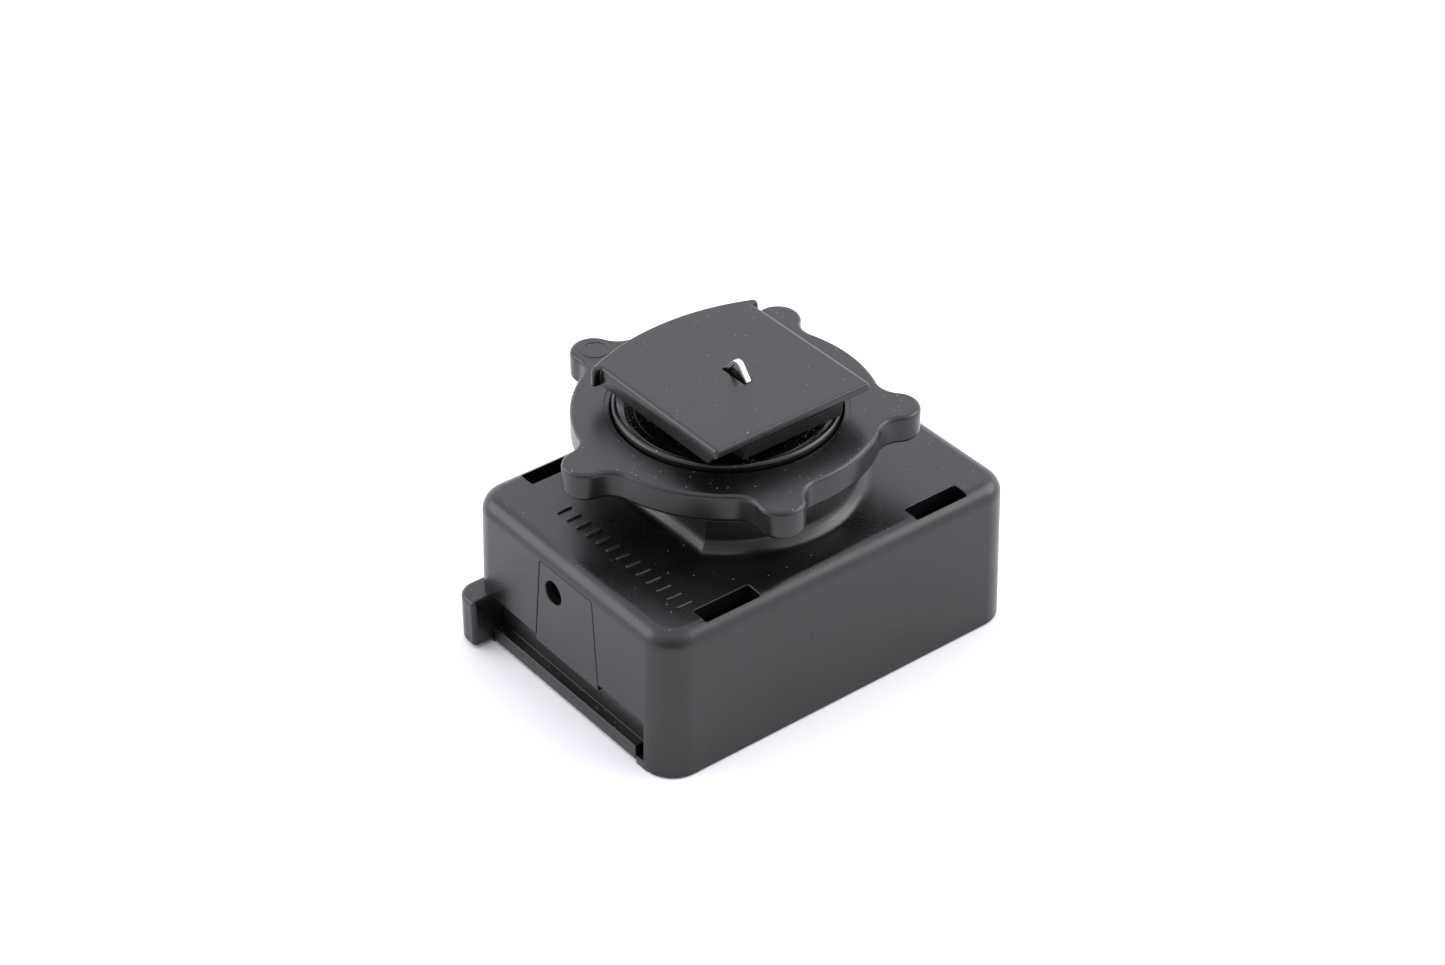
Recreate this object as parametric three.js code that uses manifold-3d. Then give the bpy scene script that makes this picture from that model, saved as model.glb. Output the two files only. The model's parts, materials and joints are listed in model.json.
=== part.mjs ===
// Optical flash trigger with a camera-shoe foot and a locking wheel.
// Millimetres, +Z up. The origin is the centre of the housing's bottom face; the foot is on top.

import * as THREE from 'three';
import { mergeVertices } from 'three/addons/utils/BufferGeometryUtils.js';
import Module from 'manifold-3d';

const wasm = await Module();
wasm.setup();

// ---- Driving dimensions ----

const GAP = 0.3; // clearance between separate pieces
const SEAT = 0.1; // clearance between flat faces that rest on each other
const PAST = 1; // how far a cutting tool runs past the face that it cuts

// Housing, measured at its bottom edge; the walls lean in by the draft angle.
const BODY_HALF_X = 21.55;
const BODY_HALF_Y = 15.86;
const BODY_HEIGHT = 16.37;
const BODY_CORNER_R = 3.4;
const BODY_EDGE_R = 1.7;
const DRAFT = Math.tan(THREE.MathUtils.degToRad(1));
const WALL = 1.6;
const CAVITY_HALF_X = BODY_HALF_X - WALL - GAP;
const CAVITY_HALF_Y = BODY_HALF_Y - WALL - GAP;
const CAVITY_CORNER_R = 1.6;
const CEILING = BODY_HEIGHT - WALL;

// Four slots in the top face, with the snap joints of the base cover below them.
const SLOT_X = 12.7;
const SLOT_LENGTH = 6.4;
const SLOT_WIDTH = 1.92;
const SLOT_Y = { front: -13.7, rear: 13.46 };
const SLOT_FLOOR = 12;
const CATCH_DEPTH = 0.9;
const CATCH_Z = { low: 8.6, high: 10.2 };

// Notch along the left wall and the tab on its rear corner.
const NOTCH_Y = { near: -12.3, far: 12.1 };
const NOTCH_HEIGHT = 5.6;
const TAB_REACH = 2.2;
const TAB_Y = { near: 12.1, far: 15.4 };
const TAB_Z = { low: 0.35, high: 5.65 };
const TAB_CORNER_R = 2;

// Tapered side panel and its hole.
const PANEL_Y = -0.2;
const PANEL_Z = { low: 4.9, high: 14.7 };
const PANEL_HALF = { low: 5.0, high: 4.1 };
const PANEL_THICKNESS = 1.5;
const PANEL_GAP = 0.15;
const HOLE_Y = 1.8;
const HOLE_Z = 12.15;
const HOLE_R = 1.25;
const WINDOW_R = 1.75;
const WINDOW_X = { low: -20.45, high: -19.65 };

// Base cover: plate, ledge in the notch, snap arms and board posts.
const COVER_THICKNESS = 1.6;
const LEDGE_Y = { near: -11, far: 11.8 };
const LEDGE_Z = { low: 0.35, high: 1.95 };
const LEDGE_DEPTH = 1.2;
const SKIRT_TOP = 4.6;
const ARM_WIDTH = 5.4;
const ARM_THICKNESS = 1;
const ARM_TOP = 11.9;
const NOSE_DEPTH = 0.85;

// Wheel axis and what stands on it, from the boss up to the foot plate.
const AXIS_Y = 2.43;
const BOSS_R = 12.75;
const BOSS_FLAT = 9.4;
const BOSS_CHAMFER = 1.05;
const BOSS_TOP = 19.9;
const BOSS_REAR = 15.5;
const BOSS_WALL = 1.6;
const HUB_R = 7.3;
const HUB_BOTTOM = CEILING;
const STEM_R = 6;
const STEM_FLAT = 5;
const STEM_BOTTOM = 14.8;

const WHEEL_Z = { low: 21.37, high: 24.37 };
const WHEEL_R = 15;
const WHEEL_EDGE = 0.4;
const WHEEL_STEP = { r: 11.75, floor: 24.12 };
const WHEEL_POCKET = { r: 11.2, floor: 22.6 };
const LOBES = 5;
const LOBE_FIRST_DEG = 33.5;
const LOBE_REACH = 16.2;
const LOBE_R = 2.3;
const LOBE_FILLET_R = 2.5;

const WASHER_R = { inner: 7, outer: 10.2 };
const WASHER_Z = { low: 22.9, high: 23.3 };
const DISC_R = 10.9;
const DISC_RIM = 0.6;
const DISC_Z = { low: 23.6, floor: 24.2, high: 25 };

// Foot plate, seen from above with the wheel axis at x = 0, y = 0.
const FOOT_HALF_X = 9.3;
const FOOT_FRONT = -10.1;
const FOOT_REAR = 10.3;
const FOOT_REAR_R = 25;
const FOOT_Z = { low: 26.4, high: 28.37 };
const EAR_HALF_X = 10.05;
const EAR_FRONT = 7.6;
const LEAD_IN = { length: 1.3, height: 1.2 };
const NECK_HALF_X = 6.1;
const NECK_REAR = 7.4;
const NECK_BOTTOM = 25.85;

// Centre contact: a roof-shaped blade that slides in the foot on a spring.
const BLADE = { x: 0.17, y: -1.33, half: 1.66, rise: 1.8, tipR: 0.35, thickness: 0.86 };
const SHOULDER = { half: 2.6, low: 19.9, high: 21.2 };
const SPRING = { meanR: 1.25, wireR: 0.2, low: 14.9, high: 19.6, turns: 6, stepsPerTurn: 12 };
const SPRING_WELL_R = 1.9;
const TERMINAL = { headR: 1.6, headZ: 14, topZ: 14.8, shankR: 0.9 };

// Ground contact: a leaf bent from sheet, in a groove of the stem.
const LEAF = { thickness: 0.35, halfWidth: 1.1, x: 4.4, step: 6.6, reach: 8.9 };
const LEAF_Z = { under: 25.3, tip: 25.95 };

// Board, retainer and fasteners.
const BOARD = { halfX: 17.5, halfY: 11.2, low: 8, high: 9.6, cornerR: 1 };
const BOARD_SCREWS = { front: [15, -8.5], rear: [-15, 8.5] };
const COVER_POSTS = [[-15, -8.5], [15, 8.5]];
const POST_R = 2.2;
const COVER_POST_R = 1.5;
const RETAINER = { r: 7.2, low: 13.5, high: 14.5, centreR: 2.2 };
const FOOT_SCREW_X = 2.6;
const FOOT_SCREW_Y = 3.2;
const SCREW = { shankR: 0.85, headR: 1.7, headHeight: 0.9, slot: 0.5, pilotR: 1.15 };
const FOOT_SCREW_TOP = 19;
const BOARD_SCREW_TOP = 13.4;
const PILOT_EXTRA = 0.3;

// Terminal block and its studs, facing the flash.
const BLOCK = { halfX: 8, y: 8.8, halfY: 2.2, low: 0.2, high: 4.5 };
const BLOCK_FLANGE = { extra: 1, low: 1.9, high: 2.9 };
const STUD = { r: 0.9, low: 0.1, high: 7.8, pitch: 4, count: 4 };

// ---- Materials ----

const finish = (color, roughness, metalness = 0) =>
  new THREE.MeshStandardMaterial({ color, roughness, metalness });

const material = {
  shell: finish(0x1b1b1d, 0.5),
  wheel: finish(0x1f1f21, 0.45),
  disc: finish(0x161618, 0.3),
  foot: finish(0x222224, 0.5),
  filter: finish(0x1a0506, 0.15),
  nickel: finish(0xd6d2c8, 0.3, 1),
  brass: finish(0xb8923f, 0.35, 1),
  steel: finish(0x9a9c9e, 0.35, 1),
  board: finish(0x1f5a34, 0.5),
  epoxy: finish(0x141414, 0.6),
  clear: finish(0xbfc4c8, 0.1),
  film: finish(0x9c4a1e, 0.4),
  ferrite: finish(0x2c2c30, 0.7),
  resistor: finish(0xc8ab7a, 0.6),
  insulator: finish(0x2a2a2c, 0.6),
  nylon: finish(0xe4e0d4, 0.5),
};

// ---- Solids from three.js geometries ----

function toSolid(geometry) {
  const bare = geometry.clone();
  bare.deleteAttribute('normal');
  bare.deleteAttribute('uv');
  const merged = mergeVertices(bare);
  const vertProperties = new Float32Array(merged.attributes.position.array);
  const triVerts = new Uint32Array(merged.index.array);
  return new wasm.Manifold(new wasm.Mesh({ numProp: 3, vertProperties, triVerts }));
}

function toMesh(name, solid, look) {
  const { vertProperties, triVerts } = solid.getMesh();
  const geometry = new THREE.BufferGeometry();
  geometry.setAttribute('position', new THREE.BufferAttribute(vertProperties, 3));
  geometry.setIndex(new THREE.BufferAttribute(triVerts, 1));
  geometry.computeVertexNormals();
  const mesh = new THREE.Mesh(geometry, look);
  mesh.name = name;
  return mesh;
}

const join = (first, ...rest) => rest.reduce((sum, solid) => sum.add(solid), first);
const cut = (first, ...tools) => tools.reduce((left, tool) => left.subtract(tool), first);

function box([x0, x1], [y0, y1], [z0, z1]) {
  const geometry = new THREE.BoxGeometry(x1 - x0, y1 - y0, z1 - z0);
  geometry.translate((x0 + x1) / 2, (y0 + y1) / 2, (z0 + z1) / 2);
  return toSolid(geometry);
}

function cylinder(r, [z0, z1], [x, y] = [0, 0], sides = 24) {
  const geometry = new THREE.CylinderGeometry(r, r, z1 - z0, sides);
  geometry.rotateX(Math.PI / 2);
  geometry.translate(x, y, (z0 + z1) / 2);
  return toSolid(geometry);
}

function cylinderAlongX(r, [x0, x1], [y, z], sides = 24) {
  const geometry = new THREE.CylinderGeometry(r, r, x1 - x0, sides);
  geometry.rotateZ(Math.PI / 2);
  geometry.translate((x0 + x1) / 2, y, z);
  return toSolid(geometry);
}

function prism(shape, [z0, z1], curveSegments = 8) {
  const depth = z1 - z0;
  const geometry = new THREE.ExtrudeGeometry(shape, { depth, curveSegments, bevelEnabled: false });
  return toSolid(geometry.translate(0, 0, z0));
}

// A prism along X whose outline is drawn in (y, z).
function prismAlongX(shape, [x0, x1], curveSegments = 6) {
  const depth = x1 - x0;
  const geometry = new THREE.ExtrudeGeometry(shape, { depth, curveSegments, bevelEnabled: false });
  geometry.rotateX(Math.PI / 2);
  geometry.rotateZ(Math.PI / 2);
  return geometry.translate(x0, 0, 0);
}

function outline(points) {
  return new THREE.Shape(points.map(([x, y]) => new THREE.Vector2(x, y)));
}

function roundedRectangle(halfX, halfY, r) {
  const shape = new THREE.Shape();
  const corners = [[1, 1], [-1, 1], [-1, -1], [1, -1]];
  corners.forEach(([sx, sy], i) => {
    const start = (i * Math.PI) / 2;
    shape.absarc(sx * (halfX - r), sy * (halfY - r), r, start, start + Math.PI / 2);
  });
  return shape;
}

// The walls lean in towards the top by the draft angle.
function drafted(geometry) {
  const position = geometry.attributes.position;
  for (let i = 0; i < position.count; i++) {
    const lean = DRAFT * position.getZ(i);
    position.setX(i, position.getX(i) * (1 - lean / BODY_HALF_X));
    position.setY(i, position.getY(i) * (1 - lean / BODY_HALF_Y));
  }
  return geometry;
}

// A circle with two parallel flats, which keys the stem to what it passes through.
function keyedOutline(r, flat) {
  const half = Math.acos(flat / r);
  const shape = new THREE.Shape();
  shape.absarc(0, 0, r, half, Math.PI - half);
  shape.absarc(0, 0, r, Math.PI + half, 2 * Math.PI - half);
  return shape;
}

// ---- Shell ----

function bodyBlock() {
  const shape = roundedRectangle(
    BODY_HALF_X - BODY_EDGE_R, BODY_HALF_Y - BODY_EDGE_R, BODY_CORNER_R - BODY_EDGE_R);
  const geometry = new THREE.ExtrudeGeometry(shape, {
    depth: BODY_HEIGHT - BODY_EDGE_R + PAST,
    bevelThickness: BODY_EDGE_R,
    bevelSize: BODY_EDGE_R,
    bevelSegments: 3,
    curveSegments: 5,
  });
  geometry.translate(0, 0, -PAST);
  const below = box([-30, 30], [-30, 30], [-PAST - 2 * BODY_EDGE_R, 0]);
  return cut(toSolid(drafted(geometry)), below);
}

function bossOutline(r, flat) {
  const half = Math.acos(flat / r);
  const shape = new THREE.Shape();
  shape.absarc(0, 0, r, -Math.PI + half, Math.PI - half);
  return shape;
}

// The boss stands on a chamfered foot, whose widest outline lies in the top face. At the rear it
// runs out to the back wall, so it is cut off there and filled in over the rounded edge.
function boss() {
  const chamfer = new THREE.ExtrudeGeometry(bossOutline(BOSS_R, BOSS_FLAT), {
    depth: 0.02,
    bevelThickness: BOSS_CHAMFER,
    bevelSize: BOSS_CHAMFER,
    bevelSegments: 1,
    curveSegments: 40,
  });
  chamfer.translate(0, 0, BODY_HEIGHT - 0.02);
  const footing = bossOutline(BOSS_R + BOSS_CHAMFER - 0.05, BOSS_FLAT + BOSS_CHAMFER - 0.05);
  const solid = join(
    prism(bossOutline(BOSS_R, BOSS_FLAT), [CEILING, BOSS_TOP], 40),
    prism(footing, [CEILING, BODY_HEIGHT - 0.01], 40),
    toSolid(chamfer)).translate([0, AXIS_Y, 0]);
  const behind = box([-BODY_HALF_X, BODY_HALF_X], [BOSS_REAR, BODY_HALF_Y + PAST], [0, BOSS_TOP + PAST]);
  return cut(solid, behind);
}

function bossCore() {
  const inner = bossOutline(BOSS_R - BOSS_WALL, BOSS_FLAT - BOSS_WALL);
  const hollow = prism(inner, [CEILING - PAST, BOSS_TOP - BOSS_WALL], 32);
  const hub = cylinder(HUB_R, [HUB_BOTTOM - 2 * PAST, BOSS_TOP], [0, 0], 32);
  return cut(hollow, hub).translate([0, AXIS_Y, 0]);
}

function sidePanelOutline(grow) {
  return outline([
    [PANEL_Y - PANEL_HALF.low - grow, PANEL_Z.low - grow],
    [PANEL_Y + PANEL_HALF.low + grow, PANEL_Z.low - grow],
    [PANEL_Y + PANEL_HALF.high + grow, PANEL_Z.high + grow],
    [PANEL_Y - PANEL_HALF.high - grow, PANEL_Z.high + grow],
  ]);
}

function slotsAndCatches() {
  const slots = [];
  const catches = [];
  for (const sx of [-1, 1]) {
    for (const [side, y] of [[-1, SLOT_Y.front], [1, SLOT_Y.rear]]) {
      const xs = [sx * SLOT_X - SLOT_LENGTH / 2, sx * SLOT_X + SLOT_LENGTH / 2];
      const wallY = side * CAVITY_HALF_Y;
      const ribYs = [wallY - side * CATCH_DEPTH, wallY + side * GAP].sort((a, b) => a - b);
      slots.push(box(xs, [y - SLOT_WIDTH / 2, y + SLOT_WIDTH / 2], [SLOT_FLOOR, BODY_HEIGHT + PAST]));
      catches.push(box(xs, ribYs, [CATCH_Z.low, CATCH_Z.high]));
    }
  }
  return { slots, catches };
}

function tab() {
  const shape = new THREE.Shape();
  const outer = -BODY_HALF_X - TAB_REACH;
  shape.moveTo(outer, TAB_Y.near);
  shape.lineTo(-BODY_HALF_X + WALL / 2, TAB_Y.near);
  shape.lineTo(-BODY_HALF_X + WALL, TAB_Y.far);
  shape.absarc(
    outer + TAB_CORNER_R, TAB_Y.far - TAB_CORNER_R, TAB_CORNER_R, Math.PI / 2, Math.PI);
  return prism(shape, [TAB_Z.low, TAB_Z.high]);
}

function housing() {
  const cavity = prism(
    roundedRectangle(CAVITY_HALF_X, CAVITY_HALF_Y, CAVITY_CORNER_R), [-PAST, CEILING], 4);
  const notch = box(
    [-BODY_HALF_X - PAST, -CAVITY_HALF_X + PAST], [NOTCH_Y.near, NOTCH_Y.far],
    [-PAST, NOTCH_HEIGHT]);
  const panelOpening = toSolid(prismAlongX(
    sidePanelOutline(PANEL_GAP), [-BODY_HALF_X - PAST, -CAVITY_HALF_X + PAST]));
  const stemHole = prism(keyedOutline(STEM_R + GAP, STEM_FLAT + GAP), [CEILING - PAST, BOSS_TOP + PAST])
    .translate([0, AXIS_Y, 0]);
  const { slots, catches } = slotsAndCatches();
  const posts = Object.values(BOARD_SCREWS).map((at) =>
    cylinder(POST_R, [BOARD.high + GAP, CEILING + PAST / 2], at));
  const pilots = Object.values(BOARD_SCREWS).map((at) =>
    cylinder(SCREW.pilotR, [BOARD.high, BOARD_SCREW_TOP + PILOT_EXTRA], at, 12));
  const shell = cut(join(bodyBlock(), boss()), cavity, notch, panelOpening, bossCore(), stemHole);
  const filled = join(shell, ...catches, ...posts, tab());
  return toMesh('housing', cut(filled, ...slots, ...pilots), material.shell);
}

function sensorPanel() {
  const slab = prismAlongX(sidePanelOutline(0), [-BODY_HALF_X, -BODY_HALF_X + PANEL_THICKNESS]);
  const through = [-BODY_HALF_X - PAST, -CAVITY_HALF_X + PAST];
  const hole = cylinderAlongX(HOLE_R, through, [HOLE_Y, HOLE_Z]);
  const seat = cylinderAlongX(
    WINDOW_R + PANEL_GAP, [WINDOW_X.low - PANEL_GAP, -CAVITY_HALF_X + PAST], [HOLE_Y, HOLE_Z]);
  return toMesh('sensor_panel', cut(toSolid(drafted(slab)), hole, seat), material.shell);
}

function sensorWindow() {
  const disc = cylinderAlongX(WINDOW_R, [WINDOW_X.low, WINDOW_X.high], [HOLE_Y, HOLE_Z]);
  return toMesh('sensor_window', disc, material.filter);
}

function snapArms() {
  const arms = [];
  for (const sx of [-1, 1]) {
    for (const side of [-1, 1]) {
      const xs = [sx * SLOT_X - ARM_WIDTH / 2, sx * SLOT_X + ARM_WIDTH / 2];
      const face = CAVITY_HALF_Y - CATCH_DEPTH - GAP;
      const ys = [side * (face - ARM_THICKNESS), side * face].sort((a, b) => a - b);
      const noseYs = [side * (face - GAP), side * (face + NOSE_DEPTH)].sort((a, b) => a - b);
      arms.push(box(xs, ys, [COVER_THICKNESS - GAP, ARM_TOP]));
      arms.push(box(xs, noseYs, [CATCH_Z.high + GAP, ARM_TOP]));
    }
  }
  return arms;
}

function baseCover() {
  const plate = prism(
    roundedRectangle(CAVITY_HALF_X - GAP, CAVITY_HALF_Y - GAP, CAVITY_CORNER_R),
    [0, COVER_THICKNESS], 4);
  const inner = -CAVITY_HALF_X + PAST;
  const ledge = box([-BODY_HALF_X + 0.05, inner], [LEDGE_Y.near, LEDGE_Y.far], [LEDGE_Z.low, LEDGE_Z.high]);
  const skirtOuter = -BODY_HALF_X + LEDGE_DEPTH;
  const skirt = box([skirtOuter, skirtOuter + 1], [LEDGE_Y.near, LEDGE_Y.far], [LEDGE_Z.low, SKIRT_TOP]);
  const posts = COVER_POSTS.map((at) =>
    cylinder(COVER_POST_R, [COVER_THICKNESS - GAP, BOARD.low - SEAT], at, 16));
  const window = box(
    [-BLOCK.halfX - GAP, BLOCK.halfX + GAP],
    [BLOCK.y - BLOCK.halfY - GAP, BLOCK.y + BLOCK.halfY + GAP], [-PAST, COVER_THICKNESS + PAST]);
  const solid = cut(join(plate, ledge, skirt, ...snapArms(), ...posts), window);
  return toMesh('base_cover', solid, material.shell);
}

// ---- Foot and wheel, placed on the wheel axis ----

function footOutline() {
  const centreY = FOOT_REAR - FOOT_REAR_R;
  const swing = Math.asin(EAR_HALF_X / FOOT_REAR_R);
  const shape = new THREE.Shape();
  shape.moveTo(-FOOT_HALF_X, FOOT_FRONT);
  shape.lineTo(FOOT_HALF_X, FOOT_FRONT);
  shape.lineTo(FOOT_HALF_X, EAR_FRONT);
  shape.lineTo(EAR_HALF_X, EAR_FRONT);
  shape.absarc(0, centreY, FOOT_REAR_R, Math.PI / 2 - swing, Math.PI / 2 + swing);
  shape.lineTo(-EAR_HALF_X, EAR_FRONT);
  shape.lineTo(-FOOT_HALF_X, EAR_FRONT);
  return shape;
}

function leadIn() {
  const profile = outline([
    [FOOT_FRONT - PAST, FOOT_Z.low - PAST],
    [FOOT_FRONT + LEAD_IN.length, FOOT_Z.low - PAST],
    [FOOT_FRONT + LEAD_IN.length, FOOT_Z.low],
    [FOOT_FRONT, FOOT_Z.low + LEAD_IN.height],
    [FOOT_FRONT - PAST, FOOT_Z.low + LEAD_IN.height],
  ]);
  return toSolid(prismAlongX(profile, [-FOOT_HALF_X - PAST, FOOT_HALF_X + PAST]));
}

function bladePassage() {
  const xs = [BLADE.x - BLADE.thickness / 2 - GAP, BLADE.x + BLADE.thickness / 2 + GAP];
  const shaft = box(xs, [BLADE.y - BLADE.half - GAP, BLADE.y + BLADE.half + GAP],
    [SHOULDER.low, FOOT_Z.high + PAST]);
  const pocket = box(xs, [BLADE.y - SHOULDER.half - GAP, BLADE.y + SHOULDER.half + GAP],
    [STEM_BOTTOM - PAST, SHOULDER.high + GAP]);
  const well = cylinder(
    SPRING_WELL_R, [STEM_BOTTOM - PAST, SPRING.high + SEAT], [BLADE.x, BLADE.y], 16);
  return join(shaft, pocket, well);
}

function footPlate() {
  const plate = cut(prism(footOutline(), [FOOT_Z.low, FOOT_Z.high], 16), leadIn());
  const neck = box([-NECK_HALF_X, NECK_HALF_X], [FOOT_FRONT, NECK_REAR], [NECK_BOTTOM, FOOT_Z.low + 1.2]);
  const stem = prism(keyedOutline(STEM_R, STEM_FLAT), [STEM_BOTTOM, FOOT_Z.low], 16);
  const groove = box(
    [LEAF.x - GAP / 2, STEM_FLAT + PAST], [-LEAF.halfWidth - GAP / 2, LEAF.halfWidth + GAP / 2],
    [STEM_BOTTOM - PAST, NECK_BOTTOM]);
  const pilots = [-1, 1].map((side) => cylinder(
    SCREW.pilotR, [STEM_BOTTOM - PAST, FOOT_SCREW_TOP + PILOT_EXTRA],
    [side * FOOT_SCREW_X, FOOT_SCREW_Y], 12));
  const solid = cut(join(plate, neck, stem), bladePassage(), groove, ...pilots);
  return toMesh('foot_plate', solid, material.foot);
}

// Five round lobes on a circle, blended into it by hollow fillets.
function wheelOutline() {
  const filletReach = WHEEL_R + LOBE_FILLET_R;
  const filletToLobe = LOBE_R + LOBE_FILLET_R;
  const spread = Math.acos(
    (filletReach ** 2 + LOBE_REACH ** 2 - filletToLobe ** 2) / (2 * filletReach * LOBE_REACH));
  const shape = new THREE.Shape();
  for (let i = 0; i < LOBES; i++) {
    const middle = THREE.MathUtils.degToRad(LOBE_FIRST_DEG + (360 * i) / LOBES);
    const next = middle + (2 * Math.PI) / LOBES;
    const lobe = new THREE.Vector2(LOBE_REACH, 0).rotateAround(new THREE.Vector2(), middle);
    const before = new THREE.Vector2(filletReach, 0).rotateAround(new THREE.Vector2(), middle - spread);
    const after = new THREE.Vector2(filletReach, 0).rotateAround(new THREE.Vector2(), middle + spread);
    const angleIn = before.clone().sub(lobe).angle();
    const angleOut = after.clone().sub(lobe).angle();
    const filletIn = middle - spread + Math.PI;
    const filletOut = middle + spread + Math.PI;
    shape.absarc(before.x, before.y, LOBE_FILLET_R, filletIn, angleIn + Math.PI, true);
    shape.absarc(lobe.x, lobe.y, LOBE_R, angleIn, angleOut);
    shape.absarc(after.x, after.y, LOBE_FILLET_R, angleOut + Math.PI, filletOut, true);
    shape.absarc(0, 0, WHEEL_R, middle + spread, next - spread);
  }
  return shape;
}

function lockWheel() {
  const inset = WHEEL_EDGE;
  const geometry = new THREE.ExtrudeGeometry(wheelOutline(), {
    depth: WHEEL_Z.high - WHEEL_Z.low - 2 * inset,
    bevelThickness: inset,
    bevelSize: inset,
    bevelOffset: -inset,
    bevelSegments: 1,
    curveSegments: 6,
  });
  geometry.translate(0, 0, WHEEL_Z.low + inset);
  const recesses = [WHEEL_STEP, WHEEL_POCKET].map(({ r, floor }) =>
    cylinder(r, [floor, WHEEL_Z.high + PAST], [0, 0], 48));
  const bore = cylinder(STEM_R + GAP, [WHEEL_Z.low - PAST, WHEEL_Z.high], [0, 0], 32);
  return toMesh('lock_wheel', cut(toSolid(geometry), ...recesses, bore), material.wheel);
}

function slipWasher() {
  const ring = cut(
    cylinder(WASHER_R.outer, [WASHER_Z.low, WASHER_Z.high], [0, 0], 40),
    cylinder(WASHER_R.inner, [WASHER_Z.low - PAST, WASHER_Z.high + PAST], [0, 0], 32));
  return toMesh('slip_washer', ring, material.nylon);
}

function pressureDisc() {
  const blank = cylinder(DISC_R, [DISC_Z.low, DISC_Z.high], [0, 0], 48);
  const dish = cylinder(DISC_R - DISC_RIM, [DISC_Z.floor, DISC_Z.high + PAST], [0, 0], 48);
  const key = prism(keyedOutline(STEM_R + GAP, STEM_FLAT + GAP), [DISC_Z.low - PAST, DISC_Z.high]);
  return toMesh('pressure_disc', cut(blank, dish, key), material.disc);
}

function contactBlade() {
  const top = FOOT_Z.high;
  const slope = Math.atan2(BLADE.rise + BLADE.tipR, BLADE.half);
  const tipZ = top + BLADE.rise - BLADE.tipR;
  const shape = new THREE.Shape();
  shape.moveTo(-BLADE.half, SHOULDER.high);
  shape.lineTo(-SHOULDER.half, SHOULDER.high);
  shape.lineTo(-SHOULDER.half, SHOULDER.low);
  shape.lineTo(SHOULDER.half, SHOULDER.low);
  shape.lineTo(SHOULDER.half, SHOULDER.high);
  shape.lineTo(BLADE.half, SHOULDER.high);
  shape.lineTo(BLADE.half, top);
  shape.absarc(0, tipZ, BLADE.tipR, Math.PI / 2 - slope, Math.PI / 2 + slope);
  shape.lineTo(-BLADE.half, top);
  const geometry = prismAlongX(
    shape, [BLADE.x - BLADE.thickness / 2, BLADE.x + BLADE.thickness / 2]);
  return toMesh('contact_blade', toSolid(geometry.translate(0, BLADE.y, 0)), material.nickel);
}

class Helix extends THREE.Curve {
  constructor(r, low, high, turns) {
    super();
    Object.assign(this, { r, low, high, turns });
  }

  getPoint(t, target = new THREE.Vector3()) {
    const angle = 2 * Math.PI * this.turns * t;
    const z = THREE.MathUtils.lerp(this.low, this.high, t);
    return target.set(this.r * Math.cos(angle), this.r * Math.sin(angle), z);
  }
}

function bladeSpring() {
  const { meanR, wireR, low, high, turns, stepsPerTurn } = SPRING;
  const extrudePath = new Helix(meanR, low + wireR, high - wireR, turns);
  const section = new THREE.Shape().absarc(0, 0, wireR, 0, 2 * Math.PI);
  const geometry = new THREE.ExtrudeGeometry(
    section, { extrudePath, steps: turns * stepsPerTurn, curveSegments: 6 });
  return toMesh(
    'blade_spring', toSolid(geometry.translate(BLADE.x, BLADE.y, 0)), material.steel);
}

function springTerminal() {
  const at = [BLADE.x, BLADE.y];
  const shank = cylinder(TERMINAL.shankR, [BOARD.high + SEAT, TERMINAL.topZ], at, 16);
  const head = cylinder(TERMINAL.headR, [TERMINAL.headZ, TERMINAL.topZ], at, 20);
  return toMesh('spring_terminal', join(shank, head), material.brass);
}

// Drawn in (x, z) and extruded along Y: up the stem, under the neck and out below the plate.
function groundContact() {
  const { thickness: t, halfWidth, x, step, reach } = LEAF;
  const shape = outline([
    [x, BOARD.high + SEAT], [x + t, BOARD.high + SEAT], [x + t, LEAF_Z.under],
    [step + t, LEAF_Z.under], [step + t, LEAF_Z.tip], [reach, LEAF_Z.tip],
    [reach, LEAF_Z.tip + t], [step, LEAF_Z.tip + t], [step, LEAF_Z.under + t],
    [x, LEAF_Z.under + t],
  ]);
  const geometry = new THREE.ExtrudeGeometry(shape, { depth: 2 * halfWidth, bevelEnabled: false });
  geometry.rotateX(Math.PI / 2);
  return toMesh('ground_contact', toSolid(geometry.translate(0, halfWidth, 0)), material.nickel);
}

// A pan-head screw that points up, with its slotted head below.
function screw(name, top, headTop, at) {
  const headBottom = headTop - SCREW.headHeight;
  const shank = cylinder(SCREW.shankR, [headBottom, top], at, 12);
  const head = cylinder(SCREW.headR, [headBottom, headTop], at, 20);
  const slot = box(
    [at[0] - SCREW.headR - PAST, at[0] + SCREW.headR + PAST],
    [at[1] - SCREW.slot / 2, at[1] + SCREW.slot / 2], [headBottom - PAST, headBottom + SCREW.slot]);
  return toMesh(name, cut(join(shank, head), slot), material.steel);
}

function footRetainer() {
  const { r, low, high, centreR } = RETAINER;
  const through = [low - PAST, high + PAST];
  const leafSlot = box([LEAF.x - GAP, r + PAST], [-LEAF.halfWidth - GAP, LEAF.halfWidth + GAP], through);
  const holes = [-1, 1].map((side) =>
    cylinder(SCREW.pilotR, through, [side * FOOT_SCREW_X, FOOT_SCREW_Y], 12));
  const centre = cylinder(centreR, through, [BLADE.x, BLADE.y]);
  const solid = cut(cylinder(r, [low, high], [0, 0], 36), centre, leafSlot, ...holes);
  return toMesh('foot_retainer', solid, material.steel);
}

// ---- Board and its components ----

function circuitBoard() {
  const { halfX, halfY, low, high, cornerR } = BOARD;
  const through = [low - PAST, high + PAST];
  const holes = Object.values(BOARD_SCREWS).map((at) => cylinder(SCREW.pilotR, through, at, 12));
  const plate = prism(roundedRectangle(halfX, halfY, cornerR), [low, high], 3);
  return toMesh('circuit_board', cut(plate, ...holes), material.board);
}

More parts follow.
